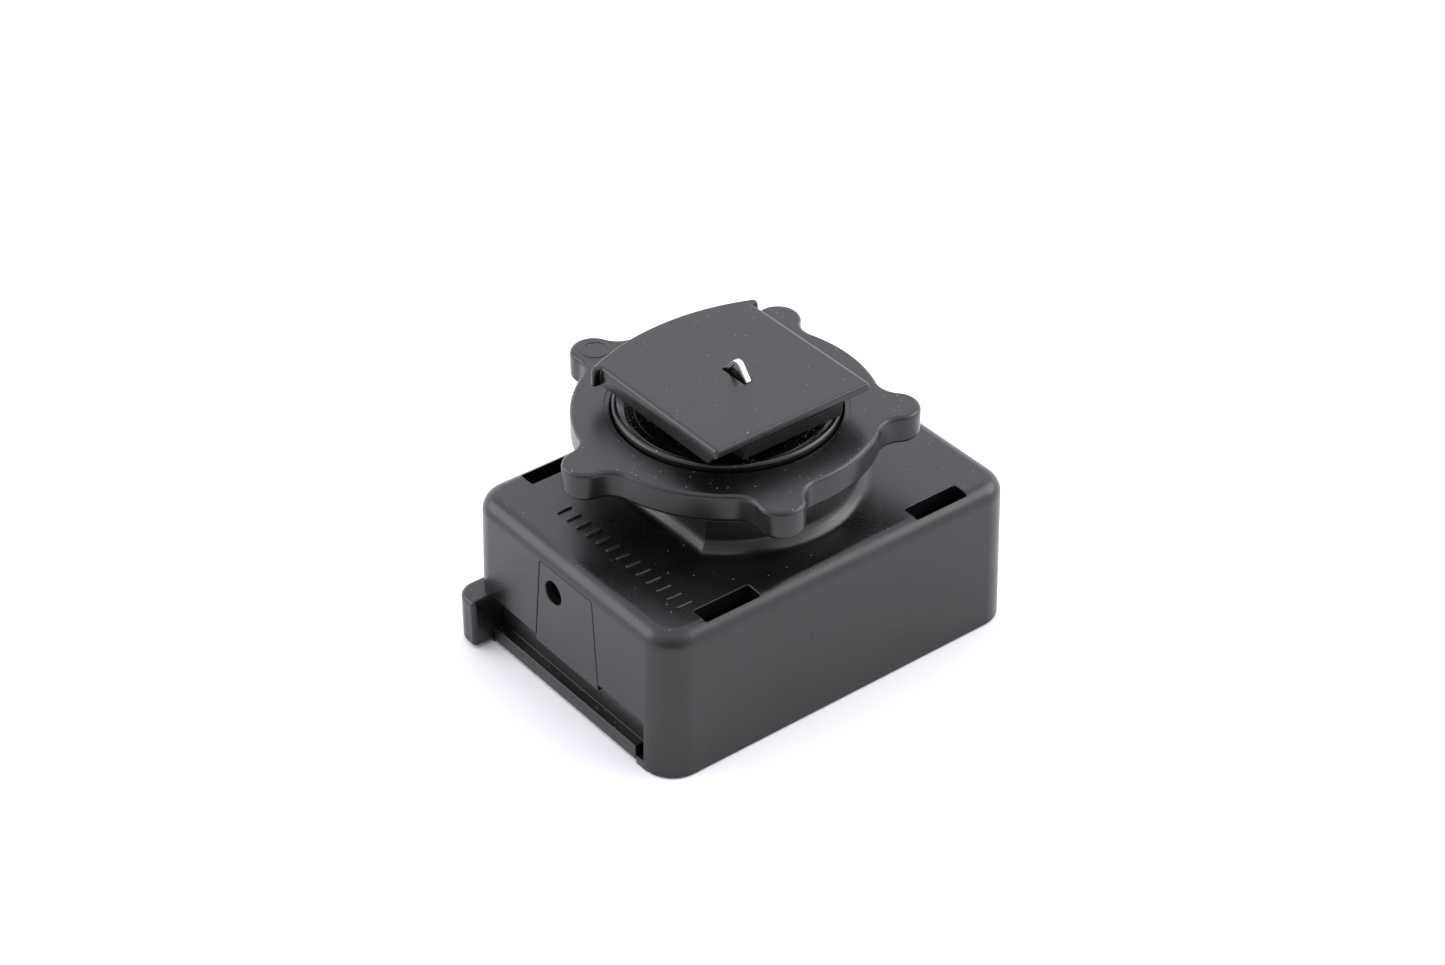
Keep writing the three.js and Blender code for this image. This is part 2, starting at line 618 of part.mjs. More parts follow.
// Thin square legs from a component's underside down to the board.
function legs(positions, topZ, width = 0.5) {
  const half = width / 2;
  return positions.map(([x, y]) =>
    box([x - half, x + half], [y - half, y + half], [BOARD.high + SEAT, topZ]));
}

function photoSensor() {
  const r = 1.5;
  const front = -18.9;
  const back = -15;
  const barrel = cylinderAlongX(r, [front + r, back], [HOLE_Y, HOLE_Z], 20);
  const dome = new THREE.SphereGeometry(r, 20, 10);
  dome.rotateZ(Math.PI / 2);
  dome.translate(front + r, HOLE_Y, HOLE_Z);
  const flange = cylinderAlongX(r + 0.3, [back - 0.6, back], [HOLE_Y, HOLE_Z], 20);
  const pins = legs([[back - 0.3, HOLE_Y - 0.7], [back - 0.3, HOLE_Y + 0.7]], HOLE_Z);
  return toMesh('photo_sensor', join(barrel, toSolid(dome), flange, ...pins), material.clear);
}

function thyristor() {
  const at = [-10.5, -5];
  const shape = new THREE.Shape();
  shape.absarc(0, 0, 2.3, THREE.MathUtils.degToRad(-45), THREE.MathUtils.degToRad(225));
  const body = prism(shape, [10.8, 14.2]).translate([...at, 0]);
  const pins = legs([-1.27, 0, 1.27].map((dx) => [at[0] + dx, at[1]]), 11);
  return toMesh('thyristor', join(body, ...pins), material.epoxy);
}

function capacitor() {
  const [x, y] = [7.5, -8.3];
  const body = box([x - 3.6, x + 3.6], [y - 1.3, y + 1.3], [10.2, 14.2]);
  const pins = legs([[x - 2.5, y], [x + 2.5, y]], 10.4);
  return toMesh('capacitor', join(body, ...pins), material.film);
}

function chokeCoil() {
  const at = [13, 4];
  const flanges = [[9.9, 10.5], [13.6, 14.2]].map((zs) => cylinder(2.7, zs, at));
  const winding = cylinder(2.3, [10.4, 13.7], at);
  const pins = legs([[at[0] - 1.5, at[1]], [at[0] + 1.5, at[1]]], 10);
  return toMesh('choke_coil', join(winding, ...flanges, ...pins), material.ferrite);
}

// An axial resistor along X with its leads bent down.
function resistor(name, [x, y]) {
  const z = 11;
  const body = cylinderAlongX(0.9, [x - 1.9, x + 1.9], [y, z], 14);
  const lead = cylinderAlongX(0.25, [x - 3, x + 3], [y, z], 8);
  const pins = legs([[x - 2.8, y], [x + 2.8, y]], z, 0.4);
  return toMesh(name, join(body, lead, ...pins), material.resistor);
}

function studPlaces() {
  const first = (-(STUD.count - 1) * STUD.pitch) / 2;
  return Array.from({ length: STUD.count }, (_, i) => [first + i * STUD.pitch, BLOCK.y]);
}

function terminalBlock() {
  const { halfX, y, halfY, low, high } = BLOCK;
  const body = box([-halfX, halfX], [y - halfY, y + halfY], [low, high]);
  const { extra } = BLOCK_FLANGE;
  const flange = box(
    [-halfX - extra, halfX + extra], [y - halfY - extra, y + halfY + extra],
    [BLOCK_FLANGE.low, BLOCK_FLANGE.high]);
  const holes = studPlaces().map((at) => cylinder(STUD.r + GAP / 2, [low - PAST, high + PAST], at, 16));
  return toMesh('terminal_block', cut(join(body, flange), ...holes), material.insulator);
}

function flashContact(at, i) {
  const stud = cylinder(STUD.r, [STUD.low, STUD.high], at, 16);
  return toMesh(`flash_contact_${i + 1}`, stud, material.brass);
}

// ---- Assembly ----

const onAxis = new THREE.Group();
onAxis.position.y = AXIS_Y;
onAxis.add(
  footPlate(),
  lockWheel(),
  slipWasher(),
  pressureDisc(),
  contactBlade(),
  bladeSpring(),
  springTerminal(),
  groundContact(),
  footRetainer(),
  screw('foot_screw_left', FOOT_SCREW_TOP, RETAINER.low - GAP, [-FOOT_SCREW_X, FOOT_SCREW_Y]),
  screw('foot_screw_right', FOOT_SCREW_TOP, RETAINER.low - GAP, [FOOT_SCREW_X, FOOT_SCREW_Y]),
);

const trigger = new THREE.Group();
trigger.add(
  housing(),
  baseCover(),
  sensorPanel(),
  sensorWindow(),
  onAxis,
  circuitBoard(),
  screw('board_screw_front', BOARD_SCREW_TOP, BOARD.low - SEAT, BOARD_SCREWS.front),
  screw('board_screw_rear', BOARD_SCREW_TOP, BOARD.low - SEAT, BOARD_SCREWS.rear),
  photoSensor(),
  thyristor(),
  capacitor(),
  chokeCoil(),
  resistor('resistor_1', [-7.6, 9.9]),
  resistor('resistor_2', [-11.5, 6]),
  terminalBlock(),
  ...studPlaces().map(flashContact),
);

export default trigger;
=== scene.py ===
"""Visual model of an optical flash trigger with a camera-shoe foot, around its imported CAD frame.

Shapes are worked out in millimetres and turned into metres when a mesh is made.
"""

import json
import math

import bmesh
import bpy
from mathutils import Matrix, Vector


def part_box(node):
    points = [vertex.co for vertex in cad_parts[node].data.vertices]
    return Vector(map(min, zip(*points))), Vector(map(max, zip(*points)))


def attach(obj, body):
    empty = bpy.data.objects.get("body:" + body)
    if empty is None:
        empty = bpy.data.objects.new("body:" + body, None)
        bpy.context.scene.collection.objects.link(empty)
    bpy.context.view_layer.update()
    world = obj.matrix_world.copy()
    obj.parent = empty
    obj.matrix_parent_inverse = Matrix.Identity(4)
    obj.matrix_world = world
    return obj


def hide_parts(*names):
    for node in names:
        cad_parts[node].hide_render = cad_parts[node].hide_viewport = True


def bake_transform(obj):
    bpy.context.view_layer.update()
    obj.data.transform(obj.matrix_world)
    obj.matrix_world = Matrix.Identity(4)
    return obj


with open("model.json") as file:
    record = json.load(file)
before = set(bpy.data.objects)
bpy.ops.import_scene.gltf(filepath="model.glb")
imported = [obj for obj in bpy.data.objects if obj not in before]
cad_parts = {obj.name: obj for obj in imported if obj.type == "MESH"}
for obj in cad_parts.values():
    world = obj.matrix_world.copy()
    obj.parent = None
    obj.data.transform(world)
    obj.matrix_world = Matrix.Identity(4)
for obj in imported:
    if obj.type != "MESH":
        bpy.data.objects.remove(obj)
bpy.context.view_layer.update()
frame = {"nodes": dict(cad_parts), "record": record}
MM = 0.001


def box_mm(node):
    """Lowest and highest corner of a CAD node, in millimetres."""
    low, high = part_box(node)
    return low / MM, high / MM


# ---- Dimensions that the frame gives ----

HOUSING_LOW, HOUSING_HIGH = box_mm("housing")
PANEL_LOW, PANEL_HIGH = box_mm("sensor_panel")
WINDOW_LOW, WINDOW_HIGH = box_mm("sensor_window")
COVER_LOW = box_mm("base_cover")[0]
WHEEL_LOW, WHEEL_HIGH = box_mm("lock_wheel")
WASHER_LOW, WASHER_HIGH = box_mm("slip_washer")
DISC_LOW, DISC_HIGH = box_mm("pressure_disc")
FOOT_LOW, FOOT_HIGH = box_mm("foot_plate")
BLADE_LOW, BLADE_HIGH = box_mm("contact_blade")
SPRING_LOW, SPRING_HIGH = box_mm("blade_spring")
BLOCK_LOW, BLOCK_HIGH = box_mm("terminal_block")
BOARD_LOW, BOARD_HIGH = box_mm("circuit_board")
AXIS_Y = (DISC_LOW.y + DISC_HIGH.y) / 2

# ---- Dimensions of the design that no box shows ----

HALF_X = HOUSING_HIGH.x
HALF_Y = HOUSING_HIGH.y
HEIGHT = 16.37
CORNER_R = 3.4
TOP_EDGE_R = 1.7
BOTTOM_EDGE_R = 0.3
DRAFT = math.tan(math.radians(1))
WALL = 1.6
GAP = 0.3
SEAT = 0.1
PAST = 1.0
EDGE_R = 0.12
CAVITY_HALF_X = HALF_X - WALL - GAP
CAVITY_HALF_Y = HALF_Y - WALL - GAP
CAVITY_CORNER_R = 1.6
CEILING = HEIGHT - WALL
CEILING_CHAMFER = 0.5

SLOT_X = 12.7
SLOT_HALF = (3.2, 0.96)
SLOT_YS = (-13.7, 13.46)
SLOT_FLOOR = 12.0
SLOT_CORNER_R = 0.22
RIM_R = 0.06
CATCH_DEPTH = 0.9
CATCH_Z = (8.6, 10.2)

BARS = 13
BAR_PITCH = 1.56
BAR_HALF = (0.85, 0.17)
BAR_RISE = 0.2
BAR_ROOT = 0.3
BAR_CORNER_R = 0.16
BAR_EDGE_R = 0.14
FIRST_BAR = (-16.0, -11.6)

NOTCH_Y = (-12.3, 12.1)
NOTCH_HEIGHT = 5.6
NOTCH_CORNER_R = 0.2
NOTCH_RIM_R = 0.04
TAB_Y = (12.1, 15.4)
TAB_Z = (0.35, 5.65)
TAB_EDGE_R = 0.45
TAB_REAR_R = 2.0

PANEL_TAPER = 0.9
PANEL_THICKNESS = 1.5
PANEL_CORNER_R = 0.2
PANEL_EDGE_R = (0.05, 0.08)
OPENING_RIM_R = 0.07
SEAM = 0.09
HOLE_R = 1.25
HOLE_RIM_R = 0.12
LENS_EDGE = 0.06

COVER_THICKNESS = 1.6
COVER_EDGE_R = (0.2, 0.1)
LEDGE_Y = (-11.0, 12.04)
LEDGE_Z = (0.35, 1.95)
LEDGE_DEPTH = 1.2
SILL = 0.9
SILL_BACK = 0.03
BEAD = 0.2
SKIRT_TOP = 4.6
ARM_HALF = 2.7
ARM_THICKNESS = 1.0
ARM_TOP = 11.9
NOSE_DEPTH = 0.85

POST_R = 2.2
COVER_POST_R = 1.5
PILOT_R = 1.15
BOARD_SCREWS = ((15, -8.5), (-15, 8.5))
COVER_POSTS = ((-15, -8.5), (15, 8.5))
BOARD_SCREW_TOP = 13.4
BLOCK_HALF = (8.0, 2.2)
FLANGE_Z = (1.9, 2.9)
BLOCK_WINDOW_R = 0.4
BLOCK_CHAMFER = 0.25
STUD_R = 0.9
STUD_EDGE_R = (0.35, 0.15)
STUD_PITCH = 4.0
STUDS = 4

BOSS_R = 12.75
BOSS_FLAT = 9.4
BOSS_CHAMFER = (0.85, 1.05)
BOSS_FOOT = 1.45
BOSS_REAR = 15.5
BOSS_CORNER_R = 0.3
BOSS_FILLET_R = 1.2
BOSS_TOP_R = 0.08
BOSS_ROOT = 0.8
HUB_R = 7.3
STEM_R = 6.0
STEM_FLAT = 5.0
STEM_CHAMFER = 0.2

WHEEL_R = 15.0
WHEEL_EDGE_R = 0.45
LOBES = 5
LOBE_FIRST = math.radians(33.5)
LOBE_REACH = 16.2
LOBE_R = 2.3
LOBE_FILLET_R = 2.5
STEP_R = 11.75
STEP_FLOOR = WHEEL_HIGH.z - 0.08
POCKET_R = 11.2
POCKET_FLOOR = 22.6
MARK_R = 1.5
MARK_WIDTH = 0.25
MARK_RISE = 0.06

DISC_R = (DISC_HIGH.x - DISC_LOW.x) / 2 + 0.15
DISC_RIM = 0.5
DISC_SLOPE = 0.75
DISC_FLOOR = 24.2
DISC_EDGE_R = (0.15, 0.36)
RIDGE_TOP = (0.05, 0.17)
RIDGE_FOOT = 0.23
RIDGE_R = 0.03
WASHER_INNER_R = 7.0
WASHER_EDGE_R = 0.08

PLATE_HALF_X = 9.3
PLATE_LOW = 26.4
PLATE_EDGE_R = 0.28
PLATE_CORNER_R = 0.32
EAR_ROOT_R = 0.15
SHOULDER_R = 0.95
SHOULDER_SHARE = 0.3
EAR_FRONT = 7.6
REAR_R = 25.0
LEAD_IN = (1.3, 1.2)
NECK_HALF_X = 6.1
NECK_REAR = 7.4
NECK_LOW = 25.85
NECK_CORNER_R = 0.3
NECK_TAPER = 0.18
NECK_EDGE = 0.09
FOOT_FRONT = FOOT_LOW.y - AXIS_Y
FOOT_REAR = FOOT_HIGH.y - AXIS_Y
EAR_HALF_X = FOOT_HIGH.x

FOOT_SCREW_X = 2.6
FOOT_SCREW_Y = 3.2
FOOT_SCREW_TOP = 19.0
LEAF_X = 4.4
LEAF_HALF = 1.25

BLADE_HALF = 1.66
BLADE_APEX = 2.0
BLADE_TIP_R = 0.7
BLADE_TRIM = 0.24
BLADE_RECESS = 0.22
BLADE_CLEARANCE = 0.07
STRIP = 0.28
SHOULDER_TOP = 21.2
STRIP_CORNER_R = 0.1
STRIP_EDGE_R = 0.09
WEB_DEPTH = 3
SPRING_WELL_R = 1.9
WIRE_R = 0.2
COIL_R = 1.25
COIL_TURNS = 7

# ---- Outlines ----


def rounded_loop(corners, steps=8):
    """The points of an outline whose corners are (x, y, radius); radius 0 leaves a corner sharp."""
    loop = []
    for i, (x, y, radius) in enumerate(corners):
        corner = Vector((x, y))
        if radius <= 0:
            loop.append(corner)
            continue
        before = (Vector(corners[i - 1][:2]) - corner).normalized()
        after = (Vector(corners[(i + 1) % len(corners)][:2]) - corner).normalized()
        half = before.angle(after) / 2
        centre = corner + (before + after).normalized() * (radius / math.sin(half))
        start = corner + before * (radius / math.tan(half)) - centre
        end = corner + after * (radius / math.tan(half)) - centre
        sweep = -start.angle_signed(end)
        for k in range(steps + 1):
            loop.append(centre + Matrix.Rotation(sweep * k / steps, 2) @ start)
    return loop


def inset(loop, distance):
    """The outline, anticlockwise, moved inward by a distance, or outward where it is negative."""
    if distance == 0:
        return loop
    moved = []
    for i, point in enumerate(loop):
        before = (point - loop[i - 1]).normalized()
        after = (loop[(i + 1) % len(loop)] - point).normalized()
        first = Vector((-before.y, before.x))
        second = Vector((-after.y, after.x))
        moved.append(point + (first + second) * (distance / (1 + first.dot(second))))
    return moved


def rectangle(half_x, half_y, radius=0.0, centre=(0, 0), steps=8):
    x, y = centre
    return rounded_loop([
        (x - half_x, y - half_y, radius), (x + half_x, y - half_y, radius),
        (x + half_x, y + half_y, radius), (x - half_x, y + half_y, radius),
    ], steps)


def arc(centre, radius, start, end, steps):
    turns = [start + (end - start) * k / steps for k in range(steps + 1)]
    return [Vector((centre[0] + radius * math.cos(a), centre[1] + radius * math.sin(a))) for a in turns]


def bend(centre, radius, start, end, steps, clockwise=False):
    """An arc that turns one way between two directions, by less than a full turn."""
    sweep = (end - start) % (2 * math.pi)
    return arc(centre, radius, start, start + sweep - 2 * math.pi * clockwise, steps)


def circle(radius, steps=160, centre=(0, 0)):
    return arc(centre, radius, 0, 2 * math.pi * (steps - 1) / steps, steps - 1)


def keyed_loop(radius, flat, steps=24):
    """A circle about the wheel axis with a flat on its left and on its right."""
    half = math.acos(flat / radius)
    rear = arc((0, AXIS_Y), radius, half, math.pi - half, steps)
    front = arc((0, AXIS_Y), radius, math.pi + half, 2 * math.pi - half, steps)
    return rear + front


def edge_levels(low, high, low_r, high_r, steps=6):
    """(inset, height) pairs up a wall whose bottom and top edges are rounded."""
    turns = [math.pi / 2 * k / steps for k in range(steps + 1)]
    bottom = [(low_r * (1 - math.sin(a)), low + low_r * (1 - math.cos(a))) for a in turns]
    top = [(high_r * (1 - math.cos(a)), high - high_r * (1 - math.sin(a))) for a in turns]
    return (bottom if low_r else [(0, low)]) + (top if high_r else [(0, high)])


def hole_levels(depth, radius, steps=4):
    """(inset, height) pairs of a cutter below a face at height 0, which rounds the hole's rim."""
    turns = [math.radians(75) * k / steps for k in range(steps + 1)]
    rim = [(-radius * (1 - math.cos(a)), -radius * (1 - math.sin(a))) for a in turns]
    return [(0, -depth), *rim, (-radius, radius / 4), (-radius, PAST)]


# ---- Meshes ----


def loft(name, rings, closed=False):
    """A closed mesh through rings of equally many points: capped at both ends, or joined up."""
    bm = bmesh.new()
    rows = [[bm.verts.new(Vector(point) * MM) for point in ring] for ring in rings]
    pairs = list(zip(rows, rows[1:]))
    if closed:
        pairs.append((rows[-1], rows[0]))
    for lower, upper in pairs:
        for i in range(len(lower)):
            j = (i + 1) % len(lower)
            bm.faces.new((lower[i], lower[j], upper[j], upper[i]))
    if not closed:
        bm.faces.new(rows[0][::-1])
        bm.faces.new(rows[-1])
    bmesh.ops.recalc_face_normals(bm, faces=bm.faces)
    mesh = bpy.data.meshes.new(name)
    bm.to_mesh(mesh)
    bm.free()
    piece = bpy.data.objects.new(name, mesh)
    bpy.context.scene.collection.objects.link(piece)
    return piece


def upright(x, y, z):
    return x, y, z


def along_x(y, z, x):
    return x, y, z


def stack(name, loop, levels, place=upright):
    """A solid on an outline that is moved in and up level by level; place turns it into position."""
    return loft(name, [[place(u, v, w) for u, v in inset(loop, d)] for d, w in levels])


def lathe(name, profile, steps=160, closed=False):
    """A solid of revolution about the wheel axis through (radius, height) points."""
    rings = [[(*point, z) for point in circle(r, steps, (0, AXIS_Y))] for r, z in profile]
    return loft(name, rings, closed)


def block(xs, ys, zs, radius=0.15, steps=3):
    """A box whose edges are rounded."""
    loop = rectangle(
        (xs[1] - xs[0]) / 2, (ys[1] - ys[0]) / 2, radius,
        ((xs[0] + xs[1]) / 2, (ys[0] + ys[1]) / 2), steps)
    edge = radius * 0.95
    return stack("block", loop, edge_levels(zs[0], zs[1], edge, edge, steps))


def rod(radius, zs, at, edge=0.1, steps=32, place=upright):
    """A cylinder with rounded end edges."""
    return stack("rod", circle(radius, steps, at), edge_levels(zs[0], zs[1], edge, edge, 3), place)


def combine(piece, operation, tools):
    for tool in tools:
        modifier = piece.modifiers.new(operation, "BOOLEAN")
        modifier.operation = operation
        modifier.solver = "EXACT"
        modifier.object = tool
    bpy.context.view_layer.update()
    depsgraph = bpy.context.evaluated_depsgraph_get()
    mesh = bpy.data.meshes.new_from_object(piece.evaluated_get(depsgraph))
    piece.modifiers.clear()
    piece.data = mesh
    for tool in tools:
        bpy.data.objects.remove(tool)
    return piece


def join(piece, *tools):
    return combine(piece, "UNION", tools)


def carve(piece, *tools):
    return combine(piece, "DIFFERENCE", tools)


def show(piece, name, body, nodes, slot, sharp=32):
    """Names a finished mesh, smooths it up to its sharp edges and puts it on its body, if it has one."""
    piece.name = name
    piece.data.name = name
    piece.data.materials.clear()
    piece.data.materials.append(finishes[slot])
    piece.data.shade_smooth()
    piece.data.set_sharp_from_angle(angle=math.radians(sharp))
    normals = piece.modifiers.new("normals", "WEIGHTED_NORMAL")
    normals.keep_sharp = True
    normals.weight = 80
    if body:
        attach(piece, body)
    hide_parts(*nodes)
    return piece


# ---- Housing ----


def drafted(x, y, z):
    """The housing's walls lean in towards the top."""
    return x * (1 - DRAFT * z / HALF_X), y * (1 - DRAFT * z / HALF_Y), z


def on_top(x, y, rise):
    """A point over the top face, which falls away at its rounded front and rear edges."""
    flat = (HALF_Y - TOP_EDGE_R) * (1 - DRAFT * HEIGHT / HALF_Y)
    over = max(0.0, abs(y) - flat)
    return x, y, HEIGHT - TOP_EDGE_R + math.sqrt(TOP_EDGE_R**2 - over**2) + rise


def on_left(y, z, rise):
    """A point over the left wall."""
    return DRAFT * z - HALF_X - rise, y, z


def boss_loop(outset):
    """D-shaped plan of the boss: a circle about the wheel axis with a flat on its left."""
    radius = BOSS_R + outset
    half = math.acos((BOSS_FLAT + outset) / radius)
    corners = [(*p, 0) for p in arc((0, AXIS_Y), radius, half - math.pi, math.pi - half, 120)]
    corners[0] = (*corners[0][:2], BOSS_CORNER_R)
    corners[-1] = (*corners[-1][:2], BOSS_CORNER_R)
    return rounded_loop(corners, 5)


def boss():
    """The boss, on a chamfered and filleted foot that stands a hair proud of the top face."""
    run, rise = BOSS_CHAMFER
    lift = HEIGHT + 0.003
    profile = rounded_loop([
        (BOSS_FOOT, HEIGHT - BOSS_ROOT, 0), (BOSS_FOOT, lift, 0), (run, lift, BOSS_FILLET_R),
        (0, lift + rise, BOSS_FILLET_R), (0, HOUSING_HIGH.z, BOSS_TOP_R), (-WALL, HOUSING_HIGH.z, 0),
    ], 8)
    solid = loft("boss", [[(*p, z) for p in boss_loop(outset)] for outset, z in profile])
    behind = block((-HALF_X, HALF_X), (BOSS_REAR, HALF_Y + PAST), (0, HOUSING_HIGH.z + PAST))
    return carve(solid, behind)


def boss_core():
    """The hollow of the boss around the hub that holds the foot's stem."""
    levels = [(0, CEILING - PAST), (0, HOUSING_HIGH.z - WALL)]
    hollow = stack("core", boss_loop(-WALL), levels)
    return carve(hollow, lathe("hub", [(HUB_R, CEILING - 2 * PAST), (HUB_R, HOUSING_HIGH.z)], 64))


def tab():
    outer = HOUSING_LOW.x
    loop = rounded_loop([
        (outer, TAB_Y[0], TAB_EDGE_R), (WALL / 2 - HALF_X, TAB_Y[0], 0),
        (WALL - HALF_X, TAB_Y[1], 0), (outer, TAB_Y[1], TAB_REAR_R),
    ], 10)
    return stack("tab", loop, edge_levels(*TAB_Z, BOTTOM_EDGE_R, TAB_EDGE_R))


def panel_loop():
    centre = (PANEL_LOW.y + PANEL_HIGH.y) / 2
    wide = (PANEL_HIGH.y - PANEL_LOW.y) / 2
    narrow = wide - PANEL_TAPER
    return rounded_loop([
        (centre - wide, PANEL_LOW.z, 0), (centre + wide, PANEL_LOW.z, 0),
        (centre + narrow, PANEL_HIGH.z, PANEL_CORNER_R), (centre - narrow, PANEL_HIGH.z, PANEL_CORNER_R),
    ])


def slots():
    return [
        stack("slot", rectangle(*SLOT_HALF, SLOT_CORNER_R, (side * SLOT_X, y)),
              hole_levels(HEIGHT - SLOT_FLOOR, RIM_R), on_top)
        for side in (-1, 1) for y in SLOT_YS
    ]


def catches():
    """Ribs on the front and rear walls that hold the base cover's snap arms."""
    ribs = []
    for side in (-1, 1):
        for end in (-1, 1):
            ys = sorted((end * (CAVITY_HALF_Y - CATCH_DEPTH), end * (CAVITY_HALF_Y + GAP)))
            ribs.append(block((side * SLOT_X - SLOT_HALF[0], side * SLOT_X + SLOT_HALF[0]), ys, CATCH_Z))
    return ribs


def board_posts():
    return [rod(POST_R, (BOARD_HIGH.z + GAP, CEILING + PAST / 2), at) for at in BOARD_SCREWS]


def board_pilots():
    return [rod(PILOT_R, (BOARD_HIGH.z, BOARD_SCREW_TOP + GAP), at) for at in BOARD_SCREWS]


def relief_bars():
    """A row of short raised bars beside the boss, where such housings carry a moulded legend."""
    x, first = FIRST_BAR
    levels = edge_levels(HEIGHT - BAR_ROOT, HEIGHT + BAR_RISE, 0, BAR_EDGE_R, 4)
    return [
        stack("bar", rectangle(*BAR_HALF, BAR_CORNER_R, (x, first + k * BAR_PITCH)), levels)
        for k in range(BARS)
    ]


def housing():
    shell = stack(
        "housing", rectangle(HALF_X, HALF_Y, CORNER_R, steps=16),
        edge_levels(0, HEIGHT, BOTTOM_EDGE_R, TOP_EDGE_R, 12), drafted)
    join(shell, boss())
    cavity = stack(
        "cavity", rectangle(CAVITY_HALF_X, CAVITY_HALF_Y, CAVITY_CORNER_R),
        [(0, -PAST), (0, CEILING - CEILING_CHAMFER), (CEILING_CHAMFER, CEILING)])
    notch = stack(
        "notch", rectangle(
            (NOTCH_Y[1] - NOTCH_Y[0]) / 2, NOTCH_HEIGHT / 2 + PAST, NOTCH_CORNER_R,
            ((NOTCH_Y[0] + NOTCH_Y[1]) / 2, NOTCH_HEIGHT / 2 - PAST)),
        hole_levels(WALL + GAP + PAST, NOTCH_RIM_R), on_left)
    opening = stack(
        "opening", inset(panel_loop(), -SEAM), hole_levels(WALL + GAP + PAST, OPENING_RIM_R), on_left)
    stem_hole = stack(
        "stem_hole", keyed_loop(STEM_R + GAP, STEM_FLAT + GAP),
        [(0, CEILING - PAST), (0, HOUSING_HIGH.z + PAST)])
    carve(shell, cavity, notch, opening, boss_core(), stem_hole)
    sill = block(
        (SILL_BACK - HALF_X, WALL - HALF_X), (NOTCH_Y[0] - GAP, LEDGE_Y[0] - SEAT), (0, SILL), 0.1)
    join(shell, tab(), sill, *catches(), *board_posts())
    carve(shell, *slots(), *board_pilots())
    join(shell, *relief_bars())
    return show(shell, "housing_shell", "shell", ["housing"], "shell_plastic")


def side_panel():
    levels = edge_levels(-PANEL_THICKNESS, 0, *PANEL_EDGE_R, 4)
    panel = stack("panel", panel_loop(), levels, on_left)
    middle = ((WINDOW_LOW.y + WINDOW_HIGH.y) / 2, (WINDOW_LOW.z + WINDOW_HIGH.z) / 2)
    window_r = (WINDOW_HIGH.z - WINDOW_LOW.z) / 2
    hole = stack("hole", circle(HOLE_R, 64, middle), hole_levels(WALL + GAP + PAST, HOLE_RIM_R), on_left)
    seat = stack(
        "seat", circle(window_r + SEAM, 64, middle),
        [(0, WINDOW_LOW.x - SEAM), (0, WINDOW_HIGH.x + PAST)], along_x)
    return show(carve(panel, hole, seat), "side_panel", "shell", ["sensor_panel"], "shell_plastic")


def filter_window():
    """A slightly domed filter disc behind the panel's hole."""
    middle = ((WINDOW_LOW.y + WINDOW_HIGH.y) / 2, (WINDOW_LOW.z + WINDOW_HIGH.z) / 2)
    radius = (WINDOW_HIGH.z - WINDOW_LOW.z) / 2
    thick = WINDOW_HIGH.x - WINDOW_LOW.x
    shoulder, crown, steps = 0.3 * thick, 0.25 * thick, 8
    levels = [
        (LENS_EDGE, WINDOW_HIGH.x), (0, WINDOW_HIGH.x - LENS_EDGE), (0, WINDOW_LOW.x + shoulder)]
    for k in range(1, steps + 1):
        out = radius * 0.95 * k / steps
        levels.append((out, WINDOW_LOW.x + crown * (1 - k / steps) ** 2))
    lens = stack("lens", circle(radius, 64, middle), levels, along_x)
    return show(lens, "filter_lens", "shell", ["sensor_window"], "filter")


# ---- Base cover and terminal block ----


def snap_arms():
    arms = []
    face = CAVITY_HALF_Y - CATCH_DEPTH - GAP
    for side in (-1, 1):
        xs = (side * SLOT_X - ARM_HALF, side * SLOT_X + ARM_HALF)
        for end in (-1, 1):
            ys = sorted((end * (face - ARM_THICKNESS), end * face))
            nose = sorted((end * (face - GAP), end * (face + NOSE_DEPTH)))
            arms.append(block(xs, ys, (COVER_THICKNESS - GAP, ARM_TOP), EDGE_R))
            arms.append(block(xs, nose, (CATCH_Z[1] + GAP, ARM_TOP), EDGE_R))
    return arms


def base_cover():
    plate = stack(
        "cover", rectangle(CAVITY_HALF_X - GAP, CAVITY_HALF_Y - GAP, CAVITY_CORNER_R),
        edge_levels(0, COVER_THICKNESS, *COVER_EDGE_R, 4))
    inner = PAST - CAVITY_HALF_X
    outer = COVER_LOW.x
    ledge = block((outer, inner), LEDGE_Y, LEDGE_Z, EDGE_R)
    skirt = block(
        (outer + LEDGE_DEPTH, outer + LEDGE_DEPTH + PAST), LEDGE_Y, (LEDGE_Z[0], SKIRT_TOP), EDGE_R)
    bead = block(
        (outer + LEDGE_DEPTH - BEAD, outer + LEDGE_DEPTH + BEAD), LEDGE_Y,
        (LEDGE_Z[1] - 2 * BEAD, LEDGE_Z[1] + 0.7 * BEAD), 0.07)
    posts = [rod(COVER_POST_R, (COVER_THICKNESS - GAP, BOARD_LOW.z - SEAT), at) for at in COVER_POSTS]
    middle = ((BLOCK_LOW.x + BLOCK_HIGH.x) / 2, (BLOCK_LOW.y + BLOCK_HIGH.y) / 2)
    window = stack(
        "window", rectangle(BLOCK_HALF[0] + GAP, BLOCK_HALF[1] + GAP, BLOCK_WINDOW_R, middle),
        [(-2 * BLOCK_CHAMFER, -PAST), (-BLOCK_CHAMFER, 0), (0, BLOCK_CHAMFER),
         (0, COVER_THICKNESS + PAST)])
    join(plate, ledge, skirt, bead, *snap_arms(), *posts)
    cover = show(carve(plate, window), "bottom_cover", "shell", ["base_cover"], "shell_plastic")
    cover.data.materials[0] = finishes["dusty_plastic"]


def stud_places():
    middle = (BLOCK_LOW.y + BLOCK_HIGH.y) / 2
    return [((k - (STUDS - 1) / 2) * STUD_PITCH, middle) for k in range(STUDS)]


